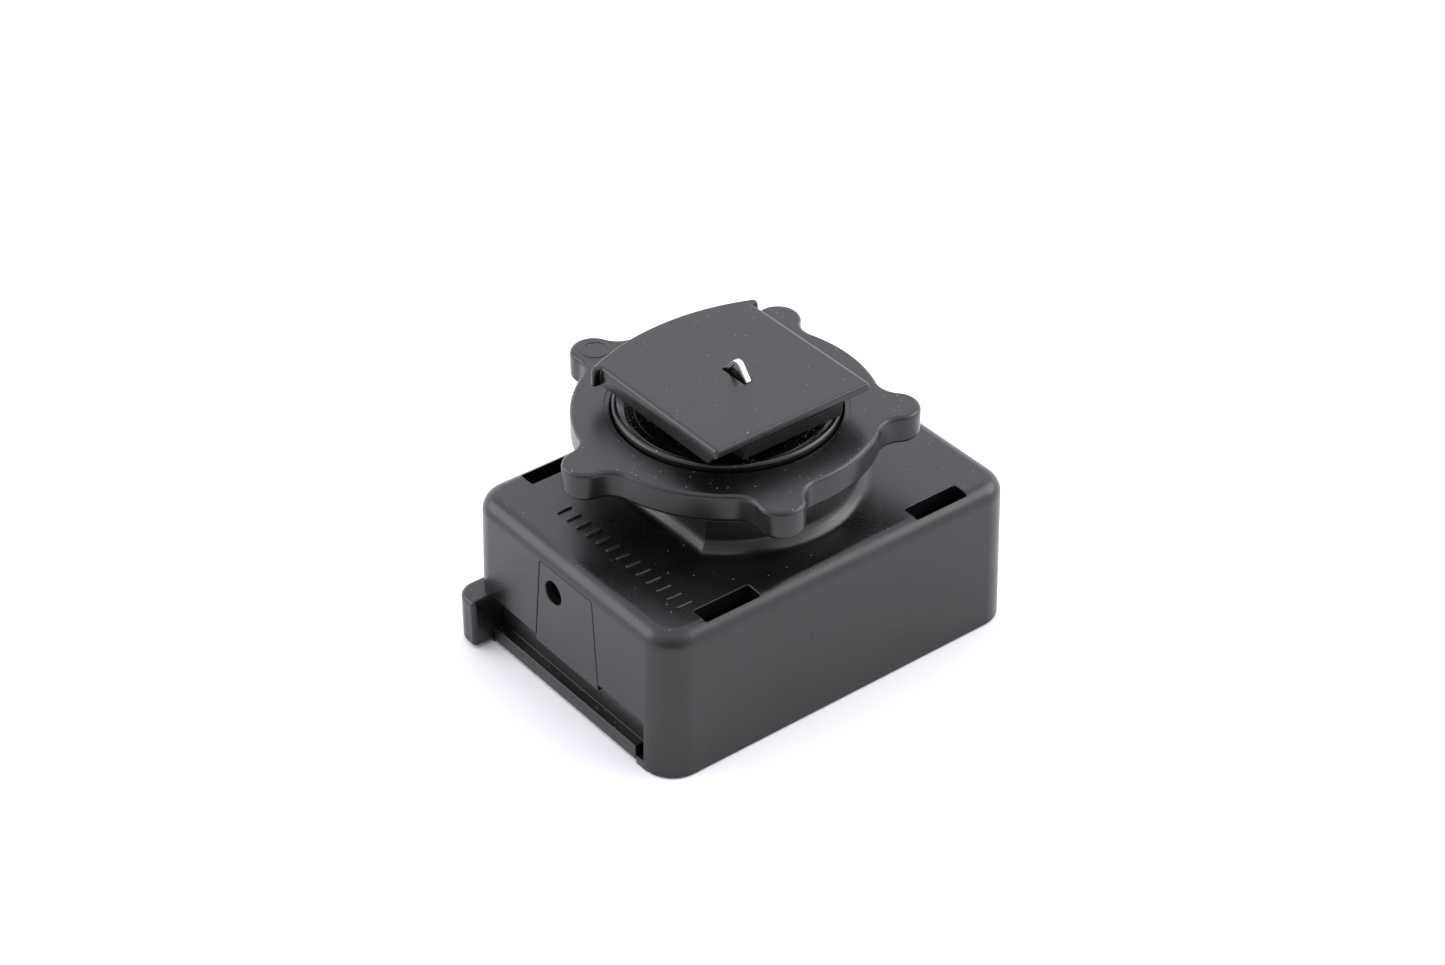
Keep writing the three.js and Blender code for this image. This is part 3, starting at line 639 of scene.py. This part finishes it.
def terminal_block():
    middle = (BLOCK_LOW.y + BLOCK_HIGH.y) / 2
    body = block(
        (-BLOCK_HALF[0], BLOCK_HALF[0]), (middle - BLOCK_HALF[1], middle + BLOCK_HALF[1]),
        (BLOCK_LOW.z, BLOCK_HIGH.z), BLOCK_CHAMFER)
    flange = block(
        (BLOCK_LOW.x, BLOCK_HIGH.x), (BLOCK_LOW.y, BLOCK_HIGH.y), FLANGE_Z, EDGE_R)
    join(body, flange)
    holes = [
        stack("hole", circle(STUD_R + 0.1, 32, at),
              [(-0.3, BLOCK_LOW.z - 0.2), (0, BLOCK_LOW.z + 0.15), (0, BLOCK_HIGH.z + PAST)])
        for at in stud_places()
    ]
    return show(carve(body, *holes), "contact_block", "shell", ["terminal_block"], "insulator")


def contact_studs():
    for k, at in enumerate(stud_places(), 1):
        low, high = box_mm(f"flash_contact_{k}")
        levels = edge_levels(low.z, high.z, *STUD_EDGE_R, 5)
        stud = stack("stud", circle(STUD_R, 40, at), levels)
        show(stud, f"contact_stud_{k}", "shell", [f"flash_contact_{k}"], "brass")


# ---- Foot ----


def plate_loop():
    centre = AXIS_Y + FOOT_REAR - REAR_R
    swing = math.asin(EAR_HALF_X / REAR_R)
    rear = arc((0, centre), REAR_R, math.pi / 2 - swing, math.pi / 2 + swing, 20)
    ear = AXIS_Y + EAR_FRONT
    front = AXIS_Y + FOOT_FRONT
    corners = [
        (-PLATE_HALF_X, front, PLATE_CORNER_R), (PLATE_HALF_X, front, PLATE_CORNER_R),
        (PLATE_HALF_X, ear, EAR_ROOT_R), (EAR_HALF_X, ear, PLATE_CORNER_R),
        (*rear[0], PLATE_CORNER_R), *((*p, 0) for p in rear[1:-1]), (*rear[-1], PLATE_CORNER_R),
        (-EAR_HALF_X, ear, PLATE_CORNER_R), (-PLATE_HALF_X, ear, EAR_ROOT_R),
    ]
    return rounded_loop(corners, 6)


def shoe_shape(x, y, z):
    """Leans the plate's front edge back below it, and rounds the shoulders of its long sides."""
    length, height = LEAD_IN
    front = AXIS_Y + FOOT_FRONT + length * max(0.0, 1 - (z - PLATE_LOW) / height)
    climb = max(0.0, z - FOOT_HIGH.z + SHOULDER_R)
    narrowing = SHOULDER_SHARE * (SHOULDER_R - math.sqrt(SHOULDER_R**2 - climb**2))
    return x * (1 - narrowing / PLATE_HALF_X), max(y, front), z


def blade_passage():
    """The slot for the contact blade, wider below for its shoulders and its spring."""
    x = (BLADE_LOW.x + BLADE_HIGH.x) / 2
    y = (BLADE_LOW.y + BLADE_HIGH.y) / 2
    half_x = (BLADE_HIGH.x - BLADE_LOW.x) / 2 + BLADE_CLEARANCE
    slot = stack(
        "slot", rectangle(half_x, BLADE_HALF + BLADE_CLEARANCE, 0.05, (x, y), 3),
        [(d, FOOT_HIGH.z + w) for d, w in hole_levels(FOOT_HIGH.z - BLADE_LOW.z, 0.05)])
    pocket = block(
        (x - half_x, x + half_x), (BLADE_LOW.y - GAP, BLADE_HIGH.y + GAP),
        (FOOT_LOW.z - PAST, SHOULDER_TOP + GAP), 0.05)
    well = rod(SPRING_WELL_R, (FOOT_LOW.z - PAST, BLADE_LOW.z - SEAT), (x, y))
    return [slot, pocket, well]


def foot():
    lower = edge_levels(PLATE_LOW, PLATE_LOW + LEAD_IN[1], EDGE_R, 0, 3)
    shoulder = [(0, FOOT_HIGH.z - SHOULDER_R * (1 - k / 10)) for k in range(1, 7)]
    upper = edge_levels(PLATE_LOW, FOOT_HIGH.z, 0, PLATE_EDGE_R)[1:]
    plate = stack("plate", plate_loop(), lower + shoulder + upper, shoe_shape)
    neck_y = (FOOT_FRONT + 0.02, NECK_REAR)
    neck_loop = rectangle(
        NECK_HALF_X, (neck_y[1] - neck_y[0]) / 2, NECK_CORNER_R, (0, AXIS_Y + sum(neck_y) / 2), 4)
    neck = stack("neck", neck_loop, [
        (NECK_TAPER + NECK_EDGE, NECK_LOW), (NECK_TAPER, NECK_LOW + NECK_EDGE),
        (0, PLATE_LOW + LEAD_IN[1] - SEAT),
    ])
    stem = stack(
        "stem", keyed_loop(STEM_R, STEM_FLAT),
        [(STEM_CHAMFER, FOOT_LOW.z), (0, FOOT_LOW.z + STEM_CHAMFER), (0, PLATE_LOW)])
    groove = block(
        (LEAF_X - GAP / 2, STEM_R + PAST), (AXIS_Y - LEAF_HALF, AXIS_Y + LEAF_HALF),
        (FOOT_LOW.z - PAST, NECK_LOW), 0.05)
    pilots = [
        rod(PILOT_R, (FOOT_LOW.z - PAST, FOOT_SCREW_TOP + GAP), (side * FOOT_SCREW_X, AXIS_Y + FOOT_SCREW_Y))
        for side in (-1, 1)
    ]
    join(plate, neck, stem)
    carve(plate, *blade_passage(), groove, *pilots)
    return show(plate, "shoe_foot", "shell", ["foot_plate"], "foot_plastic")


def contact_strip():
    """The centre contact: a strip bent to a roof around a thinner web, on a shouldered tongue."""
    y = (BLADE_LOW.y + BLADE_HIGH.y) / 2
    top = FOOT_HIGH.z
    shoulder = (BLADE_HIGH.y - BLADE_LOW.y) / 2
    corner = STRIP_CORNER_R
    loop = rounded_loop([
        (y - shoulder, BLADE_LOW.z, corner), (y + shoulder, BLADE_LOW.z, corner),
        (y + shoulder, SHOULDER_TOP, corner), (y + BLADE_HALF, SHOULDER_TOP, corner),
        (y + BLADE_HALF, top, 2 * corner), (y, top + BLADE_APEX, BLADE_TIP_R),
        (y - BLADE_HALF, top, 2 * corner),
        (y - BLADE_HALF, SHOULDER_TOP, corner), (y - shoulder, SHOULDER_TOP, corner),
    ], 6)
    left = BLADE_LOW.x + BLADE_TRIM
    strip = stack("strip", loop, edge_levels(left, BLADE_HIGH.x, STRIP_EDGE_R, STRIP_EDGE_R, 4), along_x)
    inner = BLADE_HALF - STRIP
    hollow = rounded_loop([
        (y - inner, top - WEB_DEPTH, corner), (y + inner, top - WEB_DEPTH, corner),
        (y + inner, top - STRIP / 2, corner), (y, top + BLADE_APEX - 2 * STRIP, 4 * corner),
        (y - inner, top - STRIP / 2, corner),
    ], 5)
    faces = [(left - PAST, left + BLADE_RECESS), (BLADE_HIGH.x - BLADE_RECESS / 2, BLADE_HIGH.x + PAST)]
    sides = [stack("side", hollow, [(0, low), (0, high)], along_x) for low, high in faces]
    return show(carve(strip, *sides), "contact_strip", "centre_contact", ["contact_blade"], "nickel")


def coil_height(turn):
    """The wire's height along the spring, whose end turns lie flat against their neighbours."""
    dead = 2.1 * WIRE_R
    low, high = SPRING_LOW.z + WIRE_R, SPRING_HIGH.z - WIRE_R
    if turn < 1:
        return low + dead * turn
    if turn > COIL_TURNS - 1:
        return high - dead * (COIL_TURNS - turn)
    share = (turn - 1) / (COIL_TURNS - 2)
    return low + dead + (high - low - 2 * dead) * share


def contact_spring():
    """The coil spring under the centre contact."""
    x = (SPRING_LOW.x + SPRING_HIGH.x) / 2
    y = (SPRING_LOW.y + SPRING_HIGH.y) / 2
    steps = 32
    rings = []
    for k in range(COIL_TURNS * steps + 1):
        angle = 2 * math.pi * k / steps
        height = coil_height(k / steps)
        section = arc((COIL_R, height), WIRE_R, 0, 2 * math.pi * 11 / 12, 11)
        rings.append([(x + r * math.cos(angle), y + r * math.sin(angle), z) for r, z in section])
    coil = show(loft("coil", rings), "contact_spring", None, ["blade_spring"], "steel")
    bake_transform(coil)


# ---- Locking wheel and pressure disc ----


def wheel_loop():
    """Five round lobes blended into a circle by hollow fillets."""
    reach = WHEEL_R + LOBE_FILLET_R
    between = LOBE_R + LOBE_FILLET_R
    spread = math.acos((reach**2 + LOBE_REACH**2 - between**2) / (2 * reach * LOBE_REACH))
    loop = []
    for k in range(LOBES):
        middle = LOBE_FIRST + 2 * math.pi * k / LOBES
        lobe, before, after = (
            polar(LOBE_REACH, middle), polar(reach, middle - spread), polar(reach, middle + spread))
        inward = math.atan2(*(before - lobe).yx)
        outward = math.atan2(*(after - lobe).yx)
        loop += bend(before, LOBE_FILLET_R, middle - spread + math.pi, inward + math.pi, 10, True)
        loop += bend(lobe, LOBE_R, inward, outward, 28)[1:]
        loop += bend(after, LOBE_FILLET_R, outward + math.pi, middle + spread + math.pi, 10, True)[1:]
        loop += bend((0, AXIS_Y), WHEEL_R, middle + spread, middle + 2 * math.pi / LOBES - spread, 24)[1:-1]
    return loop


def polar(radius, angle):
    """A point around the wheel axis."""
    return Vector((radius * math.cos(angle), AXIS_Y + radius * math.sin(angle)))


def lock_wheel():
    """The wheel, with a plain bore, a pocket for the disc, a fine step around it and a ring on a lobe."""
    wheel = stack(
        "wheel", wheel_loop(),
        edge_levels(WHEEL_LOW.z, WHEEL_HIGH.z, WHEEL_EDGE_R, WHEEL_EDGE_R, 7))
    bore = STEM_R + GAP
    profile = rounded_loop([
        (bore, WHEEL_LOW.z - PAST, 0), (bore, POCKET_FLOOR, 0.15), (POCKET_R, POCKET_FLOOR, 0.2),
        (POCKET_R, STEP_FLOOR, 0.12), (STEP_R, STEP_FLOOR - 0.04, 0.02), (STEP_R, WHEEL_HIGH.z, 0.05),
        (STEP_R + 0.3, WHEEL_HIGH.z + 0.05, 0), (STEP_R + 0.3, WHEEL_HIGH.z + PAST, 0),
    ], 5)
    carve(wheel, lathe("recess", profile))
    spot = polar(LOBE_REACH - 0.2, LOBE_FIRST + 2 * math.pi / LOBES)
    join(wheel, rod(MARK_R, (WHEEL_HIGH.z - GAP, WHEEL_HIGH.z + MARK_RISE), spot, 0.05))
    carve(wheel, rod(MARK_R - MARK_WIDTH, (WHEEL_HIGH.z + 0.01, WHEEL_HIGH.z + PAST), spot, 0.04))
    return show(wheel, "locking_wheel", "wheel", ["lock_wheel"], "wheel_plastic")


def pressure_disc():
    """A dished disc, keyed to the stem: a flat rim, a sloping inner wall and two fine ridges."""
    slope_end = DISC_R - DISC_RIM - DISC_SLOPE
    profile = [
        (DISC_R - 1, DISC_LOW.z, 0), (DISC_R, DISC_LOW.z, DISC_EDGE_R[0]),
        (DISC_R, DISC_HIGH.z, DISC_EDGE_R[1]), (DISC_R - DISC_RIM, DISC_HIGH.z, 0.08),
        (slope_end, DISC_FLOOR + 0.12, 0.05),
    ]
    for ridge, rise in ((slope_end, 0.2), (slope_end - 0.7, 0.1)):
        profile += [(ridge - back, DISC_FLOOR + rise, RIDGE_R) for back in RIDGE_TOP]
        profile.append((ridge - RIDGE_FOOT, DISC_FLOOR + RIDGE_R, RIDGE_R))
    profile = rounded_loop([*profile, (slope_end - 1.3, DISC_FLOOR, 0)], 4)
    count = 160
    rings = [[(*p, z) for p in circle(r, count, (0, AXIS_Y))] for r, z in profile]
    hole = [key_point(2 * math.pi * k / count) for k in range(count)]
    rings.append([(*p, DISC_FLOOR) for p in hole])
    rings.append([(*p, DISC_LOW.z) for p in hole])
    disc = loft("disc", rings, closed=True)
    return show(disc, "dished_disc", "clamp_disc", ["pressure_disc"], "disc_plastic")


def key_point(angle):
    """The keyed hole's outline in one direction from the wheel axis."""
    reach = min(STEM_R + GAP, (STEM_FLAT + GAP) / max(abs(math.cos(angle)), 1e-6))
    return polar(reach, angle)


def slip_washer():
    """A thin ring between the wheel and the disc."""
    inner, edge = WASHER_INNER_R, WASHER_EDGE_R
    outer = (WASHER_HIGH.x - WASHER_LOW.x) / 2
    ring = lathe("ring", rounded_loop([
        (inner, WASHER_LOW.z, edge), (outer, WASHER_LOW.z, edge),
        (outer, WASHER_HIGH.z, edge), (inner, WASHER_HIGH.z, edge),
    ], 3), closed=True)
    return show(ring, "nylon_washer", "clamp_disc", ["slip_washer"], "nylon")


# ---- Finishes ----


class Finish:
    """A Principled material whose colour, roughness and relief are driven by pattern nodes."""

    def __init__(self, name, colour, roughness, metallic=0.0, **constants):
        self.material = bpy.data.materials.new(name)
        self.material.use_nodes = True
        self.tree = self.material.node_tree
        self.shader = self.tree.nodes["Principled BSDF"]
        self.colour = (*colour, 1)
        self.shader.inputs["Base Color"].default_value = self.colour
        self.shader.inputs["Roughness"].default_value = roughness
        self.shader.inputs["Metallic"].default_value = metallic
        for socket, value in constants.items():
            self.shader.inputs[socket.replace("_", " ")].default_value = value
        self.at = self.add("ShaderNodeTexCoord").outputs["Object"]
        self.normal = None

    def add(self, kind, inputs=None, **settings):
        node = self.tree.nodes.new(kind)
        for key, value in settings.items():
            setattr(node, key, value)
        for key, value in (inputs or {}).items():
            self.put(node.inputs[key], value)
        return node

    def put(self, socket, value):
        if isinstance(value, bpy.types.NodeSocket):
            self.tree.links.new(value, socket)
        else:
            socket.default_value = value

    def stretched(self, x, y, z):
        """Object coordinates, scaled along each axis."""
        return self.add("ShaderNodeMapping", {"Vector": self.at, "Scale": (x, y, z)}).outputs[0]

    def noise(self, size, detail=2.0, rough=0.5, at=None):
        """A cloudy pattern, from 0 to 1, whose blobs are that many millimetres across."""
        node = self.add("ShaderNodeTexNoise", {
            "Vector": at or self.at, "Scale": 1 / (size * MM), "Detail": detail, "Roughness": rough})
        return node.outputs["Fac"]

    def ranged(self, value, low, high, to_low=0.0, to_high=1.0):
        node = self.add("ShaderNodeMapRange", {
            "Value": value, "From Min": low, "From Max": high, "To Min": to_low, "To Max": to_high})
        return node.outputs[0]

    def math(self, operation, *values):
        node = self.add("ShaderNodeMath", dict(enumerate(values)), operation=operation)
        return node.outputs[0]

    def blend(self, share, first, second):
        node = self.add("ShaderNodeMix", {0: share, 6: first, 7: second}, data_type="RGBA")
        return node.outputs[2]

    def specks(self, spacing, radius, amount):
        """Scattered round specks, 1 inside a speck: amount is the share of cells that hold one."""
        cells = self.add("ShaderNodeTexVoronoi", {"Vector": self.at, "Scale": 1 / (spacing * MM)})
        chance = self.add("ShaderNodeSeparateColor", {0: cells.outputs["Color"]})
        inside = self.ranged(cells.outputs["Distance"], radius / spacing, 0.6 * radius / spacing)
        kept = self.math("LESS_THAN", chance.outputs[0], amount)
        return self.math("MULTIPLY", inside, kept)

    def facing_up(self):
        """1 on faces that look up and 0 on those that look sideways or down."""
        normal = self.add("ShaderNodeNewGeometry").outputs["Normal"]
        up = self.add("ShaderNodeSeparateXYZ", {0: normal}).outputs["Z"]
        return self.ranged(up, 0.3, 0.8)

    def relief(self, height, depth):
        """Bumps the surface by a height pattern, from 0 to 1, times a depth in millimetres."""
        inputs = {"Height": height, "Distance": depth * MM, "Strength": 1.0}
        if self.normal:
            inputs["Normal"] = self.normal
        self.normal = self.add("ShaderNodeBump", inputs).outputs[0]
        self.put(self.shader.inputs["Normal"], self.normal)

    def drive(self, socket, value):
        self.put(self.shader.inputs[socket], value)


def moulded(name, colour, roughness, grain=0.17, relief=0.0065, dust=0.06, haze=0.03):
    """Black moulded plastic: spark-eroded grain that sparkles a little, faint haze, and pale dust."""
    f = Finish(name, colour, roughness)
    fine = f.noise(grain, 4.0, 0.65)
    cloud = f.noise(5.0, 3.0, 0.55)
    light = tuple(1.6 * c for c in colour) + (1,)
    dark = tuple(0.6 * c for c in colour) + (1,)
    tone = f.blend(f.ranged(f.math("ADD", fine, cloud), 0.7, 1.3), dark, light)
    motes = f.math("MAXIMUM", f.specks(0.42, 0.075, dust), f.specks(2.6, 0.12, 3 * dust))
    motes = f.math("MULTIPLY", motes, f.facing_up())
    f.drive("Base Color", f.blend(motes, tone, (0.21, 0.20, 0.185, 1)))
    hazy = f.math("ADD", f.ranged(cloud, 0.35, 0.65, -haze, haze),
                  f.ranged(fine, 0.3, 0.7, roughness - 0.03, roughness + 0.04))
    f.drive("Roughness", f.math("ADD", hazy, f.math("MULTIPLY", motes, 0.4)))
    f.relief(fine, relief)
    f.relief(motes, 0.02)
    return f


def moulded_disc(name):
    """Glossier, dusty plastic with fine rings about the wheel axis, as from a turned mould."""
    f = moulded(name, (0.003, 0.003, 0.0034), 0.2, grain=0.3, relief=0.002, dust=0.4)
    centred = f.add("ShaderNodeMapping", {"Vector": f.at, "Location": (0, -AXIS_Y * MM, 0)}).outputs[0]
    parts = f.add("ShaderNodeSeparateXYZ", {0: centred})
    x2 = f.math("POWER", parts.outputs[0], 2.0)
    y2 = f.math("POWER", parts.outputs[1], 2.0)
    reach = f.math("SQRT", f.math("ADD", x2, y2))
    rings = f.math("SINE", f.math("MULTIPLY", reach, 2 * math.pi / (0.22 * MM)))
    f.relief(f.ranged(rings, -1, 1), 0.0008)
    return f


def metal(name, colour, roughness, brush=(1.0, 1.0, 12.0), tarnish=0.15):
    """Plated or bare metal with fine brushing and a faint cloudy tarnish."""
    f = Finish(name, colour, roughness, 1.0)
    lines = f.noise(0.5, 3.0, 0.6, f.stretched(*brush))
    cloud = f.noise(0.8, 3.0)
    dull = tuple(c * (1 - tarnish) for c in colour) + (1,)
    f.drive("Base Color", f.blend(f.ranged(cloud, 0.35, 0.7), (*colour, 1), dull))
    f.drive("Roughness", f.ranged(f.math("ADD", lines, cloud), 0.6, 1.4, roughness - 0.06, roughness + 0.1))
    f.relief(lines, 0.0015)
    return f


def board_laminate(name):
    """Green solder mask over copper tracks, on glass laminate."""
    f = Finish(name, (0.01, 0.12, 0.045), 0.3)
    grid = f.add("ShaderNodeTexBrick", {
        "Vector": f.at, "Scale": 1 / (2.4 * MM), "Mortar Size": 0.13, "Mortar Smooth": 0.1,
        "Color1": (0, 0, 0, 1), "Color2": (0, 0, 0, 1), "Mortar": (1, 1, 1, 1)})
    broken = f.math("GREATER_THAN", f.noise(3.0, 1.0), 0.47)
    tracks = f.math("MULTIPLY", grid.outputs["Color"], broken)
    mask = f.blend(f.noise(0.4), (0.008, 0.10, 0.035, 1), (0.014, 0.15, 0.06, 1))
    f.drive("Base Color", f.blend(tracks, mask, (0.05, 0.26, 0.07, 1)))
    f.drive("Roughness", f.ranged(f.noise(0.3), 0.3, 0.7, 0.25, 0.38))
    f.relief(tracks, 0.02)
    return f


def wound_ferrite(name):
    """A choke: dark ferrite flanges with varnished copper wire wound between them."""
    f = Finish(name, (0.03, 0.03, 0.034), 0.55)
    height = f.add("ShaderNodeSeparateXYZ", {0: f.at}).outputs["Z"]
    inside = f.math("MULTIPLY", f.math("GREATER_THAN", height, 10.5 * MM),
                    f.math("LESS_THAN", height, 13.6 * MM))
    turns = f.math("SINE", f.math("MULTIPLY", height, 2 * math.pi / (0.28 * MM)))
    wire = f.blend(f.ranged(turns, -1, 1), (0.10, 0.025, 0.008, 1), (0.62, 0.24, 0.08, 1))
    stone = f.blend(f.noise(0.25, 3.0), (0.02, 0.02, 0.022, 1), (0.05, 0.05, 0.055, 1))
    f.drive("Base Color", f.blend(inside, stone, wire))
    f.drive("Roughness", f.ranged(inside, 0, 1, 0.6, 0.3))
    f.relief(f.math("MULTIPLY", turns, inside), 0.05)
    return f


def banded_resistor(name):
    """A tan resistor body with colour bands along X and bright leads."""
    f = Finish(name, (0.58, 0.42, 0.22), 0.4)
    along = f.add("ShaderNodeTexWave", {
        "Vector": f.at, "Scale": 1 / (5.2 * MM), "Distortion": 0.0},
        wave_type="BANDS", bands_direction="X")
    band = f.math("GREATER_THAN", along.outputs["Fac"], 0.82)
    clay = f.blend(f.noise(0.4), (0.50, 0.35, 0.18, 1), (0.64, 0.48, 0.27, 1))
    f.drive("Base Color", f.blend(band, clay, (0.22, 0.03, 0.02, 1)))
    f.drive("Roughness", f.ranged(f.noise(0.2), 0.3, 0.7, 0.32, 0.5))
    f.relief(f.noise(0.3), 0.004)
    return f


def speckled(name, colour, roughness, size=0.3, spread=0.25, relief=0.004, **constants):
    """A plain cast or wrapped surface with a fine uneven tone and skin."""
    f = Finish(name, colour, roughness, **constants)
    pattern = f.noise(size, 4.0, 0.6)
    dark = tuple(c * (1 - spread) for c in colour) + (1,)
    light = tuple(c * (1 + spread) for c in colour) + (1,)
    f.drive("Base Color", f.blend(f.ranged(pattern, 0.3, 0.7), dark, light))
    f.drive("Roughness", f.ranged(f.noise(size * 3, 3.0), 0.3, 0.7, roughness - 0.05, roughness + 0.07))
    f.relief(pattern, relief)
    return f


BLACK = (0.0035, 0.0035, 0.0040)


def make_finishes():
    made = {
        "shell_plastic": moulded("moulded_shell", BLACK, 0.30),
        "dusty_plastic": moulded("moulded_cover", BLACK, 0.30, dust=0.35),
        "wheel_plastic": moulded("moulded_wheel", BLACK, 0.30, dust=0.14),
        "foot_plastic": moulded("moulded_foot", BLACK, 0.27, grain=0.15, relief=0.004),
        "disc_plastic": moulded_disc("turned_disc"),
        "filter": speckled("dark_red_filter", (0.002, 0.0003, 0.0003), 0.3, 0.8, 0.2, 0.001, IOR=1.49),
        "nickel": metal("nickel_plate", (0.66, 0.63, 0.58), 0.26),
        "brass": metal("brass_studs", (0.72, 0.50, 0.20), 0.28),
        "steel": metal("zinc_steel", (0.52, 0.53, 0.54), 0.34),
        "board": board_laminate("green_board"),
        "clear_epoxy": speckled("clear_epoxy", (0.80, 0.83, 0.86), 0.08, 0.8, 0.05, 0.001,
                                Transmission_Weight=0.8, IOR=1.52),
        "black_epoxy": speckled("black_epoxy", (0.02, 0.02, 0.02), 0.5),
        "capacitor_film": speckled("orange_dip", (0.42, 0.13, 0.03), 0.3, 0.6),
        "ferrite": wound_ferrite("wound_ferrite"),
        "resistor_body": banded_resistor("banded_resistor"),
        "insulator": speckled("black_insulator", (0.028, 0.028, 0.030), 0.5, 0.15, 0.3, 0.005),
        "nylon": speckled("natural_nylon", (0.72, 0.69, 0.60), 0.42, 0.5, 0.06, 0.003,
                          Subsurface_Weight=0.1),
    }
    return {slot: finish.material for slot, finish in made.items()}


# ---- Stage ----


SKY = 1.7
SKY_DIM = 0.6
SKY_COLOUR = (0.96, 0.965, 1.04, 1)
DIM_SIDE = (-0.62, -0.78, 0.05)
DIM_FROM, DIM_TO = 0.3, 0.95
AIM = (0, 0, 0.02)
SOFTBOX_SIZE = 0.8


def make_camera():
    """A long lens looking down over the left front corner."""
    camera = bpy.data.objects.new("camera", bpy.data.cameras.new("camera"))
    camera.data.lens = 81.0
    camera.data.sensor_width = 36.0
    camera.data.clip_start = 0.01
    camera.location = (-0.1589, -0.1986, 0.1989)
    azimuth, elevation = math.radians(-38.23), math.radians(35.64)
    back = Vector((
        math.sin(azimuth) * math.cos(elevation),
        -math.cos(azimuth) * math.cos(elevation),
        math.sin(elevation),
    ))
    camera.rotation_euler = (-back).to_track_quat("-Z", "Y").to_euler()
    bpy.context.scene.collection.objects.link(camera)
    bpy.context.scene.camera = camera


def softbox(name, place, power):
    lamp = bpy.data.lights.new(name, "AREA")
    lamp.shape = "DISK"
    lamp.size = SOFTBOX_SIZE
    lamp.energy = power
    light = bpy.data.objects.new(name, lamp)
    light.location = place
    light.rotation_euler = (Vector(AIM) - Vector(place)).to_track_quat("-Z", "Y").to_euler()
    bpy.context.scene.collection.objects.link(light)


def make_floor():
    mesh = bpy.data.meshes.new("floor")
    bm = bmesh.new()
    bmesh.ops.create_grid(bm, x_segments=1, y_segments=1, size=2.5)
    bm.to_mesh(mesh)
    bm.free()
    floor = bpy.data.objects.new("floor", mesh)
    paper = speckled("paper", (0.86, 0.86, 0.86), 0.9, 4.0, 0.01, 0.01)
    mesh.materials.append(paper.material)
    bpy.context.scene.collection.objects.link(floor)


def make_light():
    """A pale sky, much dimmer behind the camera, and two large softboxes aimed at the object."""
    world = bpy.data.worlds.new("studio")
    world.use_nodes = True
    nodes, links = world.node_tree.nodes, world.node_tree.links
    sky = nodes["Background"]
    facing = nodes.new("ShaderNodeVectorMath")
    facing.operation = "DOT_PRODUCT"
    facing.inputs[1].default_value = DIM_SIDE
    links.new(nodes.new("ShaderNodeTexCoord").outputs["Generated"], facing.inputs[0])
    strength = nodes.new("ShaderNodeMapRange")
    strength.interpolation_type = "SMOOTHSTEP"
    for socket, value in zip(strength.inputs[1:5], (DIM_FROM, DIM_TO, SKY, SKY_DIM)):
        socket.default_value = value
    links.new(facing.outputs["Value"], strength.inputs[0])
    links.new(strength.outputs[0], sky.inputs["Strength"])
    sky.inputs["Color"].default_value = SKY_COLOUR
    bpy.context.scene.world = world
    softbox("back_left", (-0.583, 0.638, 0.503), 3.4)
    softbox("front_right", (0.75, -0.35, 0.56), 5.2)


# ---- The model ----

finishes = make_finishes()
for part in frame["record"]["subparts"]:
    for holder in frame["nodes"][part["node"]].material_slots:
        holder.material = finishes[part["material_slot"]]

make_camera()
make_floor()
make_light()
bpy.context.scene.view_settings.view_transform = "Standard"

housing()
side_panel()
filter_window()
base_cover()
terminal_block()
contact_studs()
foot()
contact_strip()
contact_spring()
lock_wheel()
pressure_disc()
slip_washer()
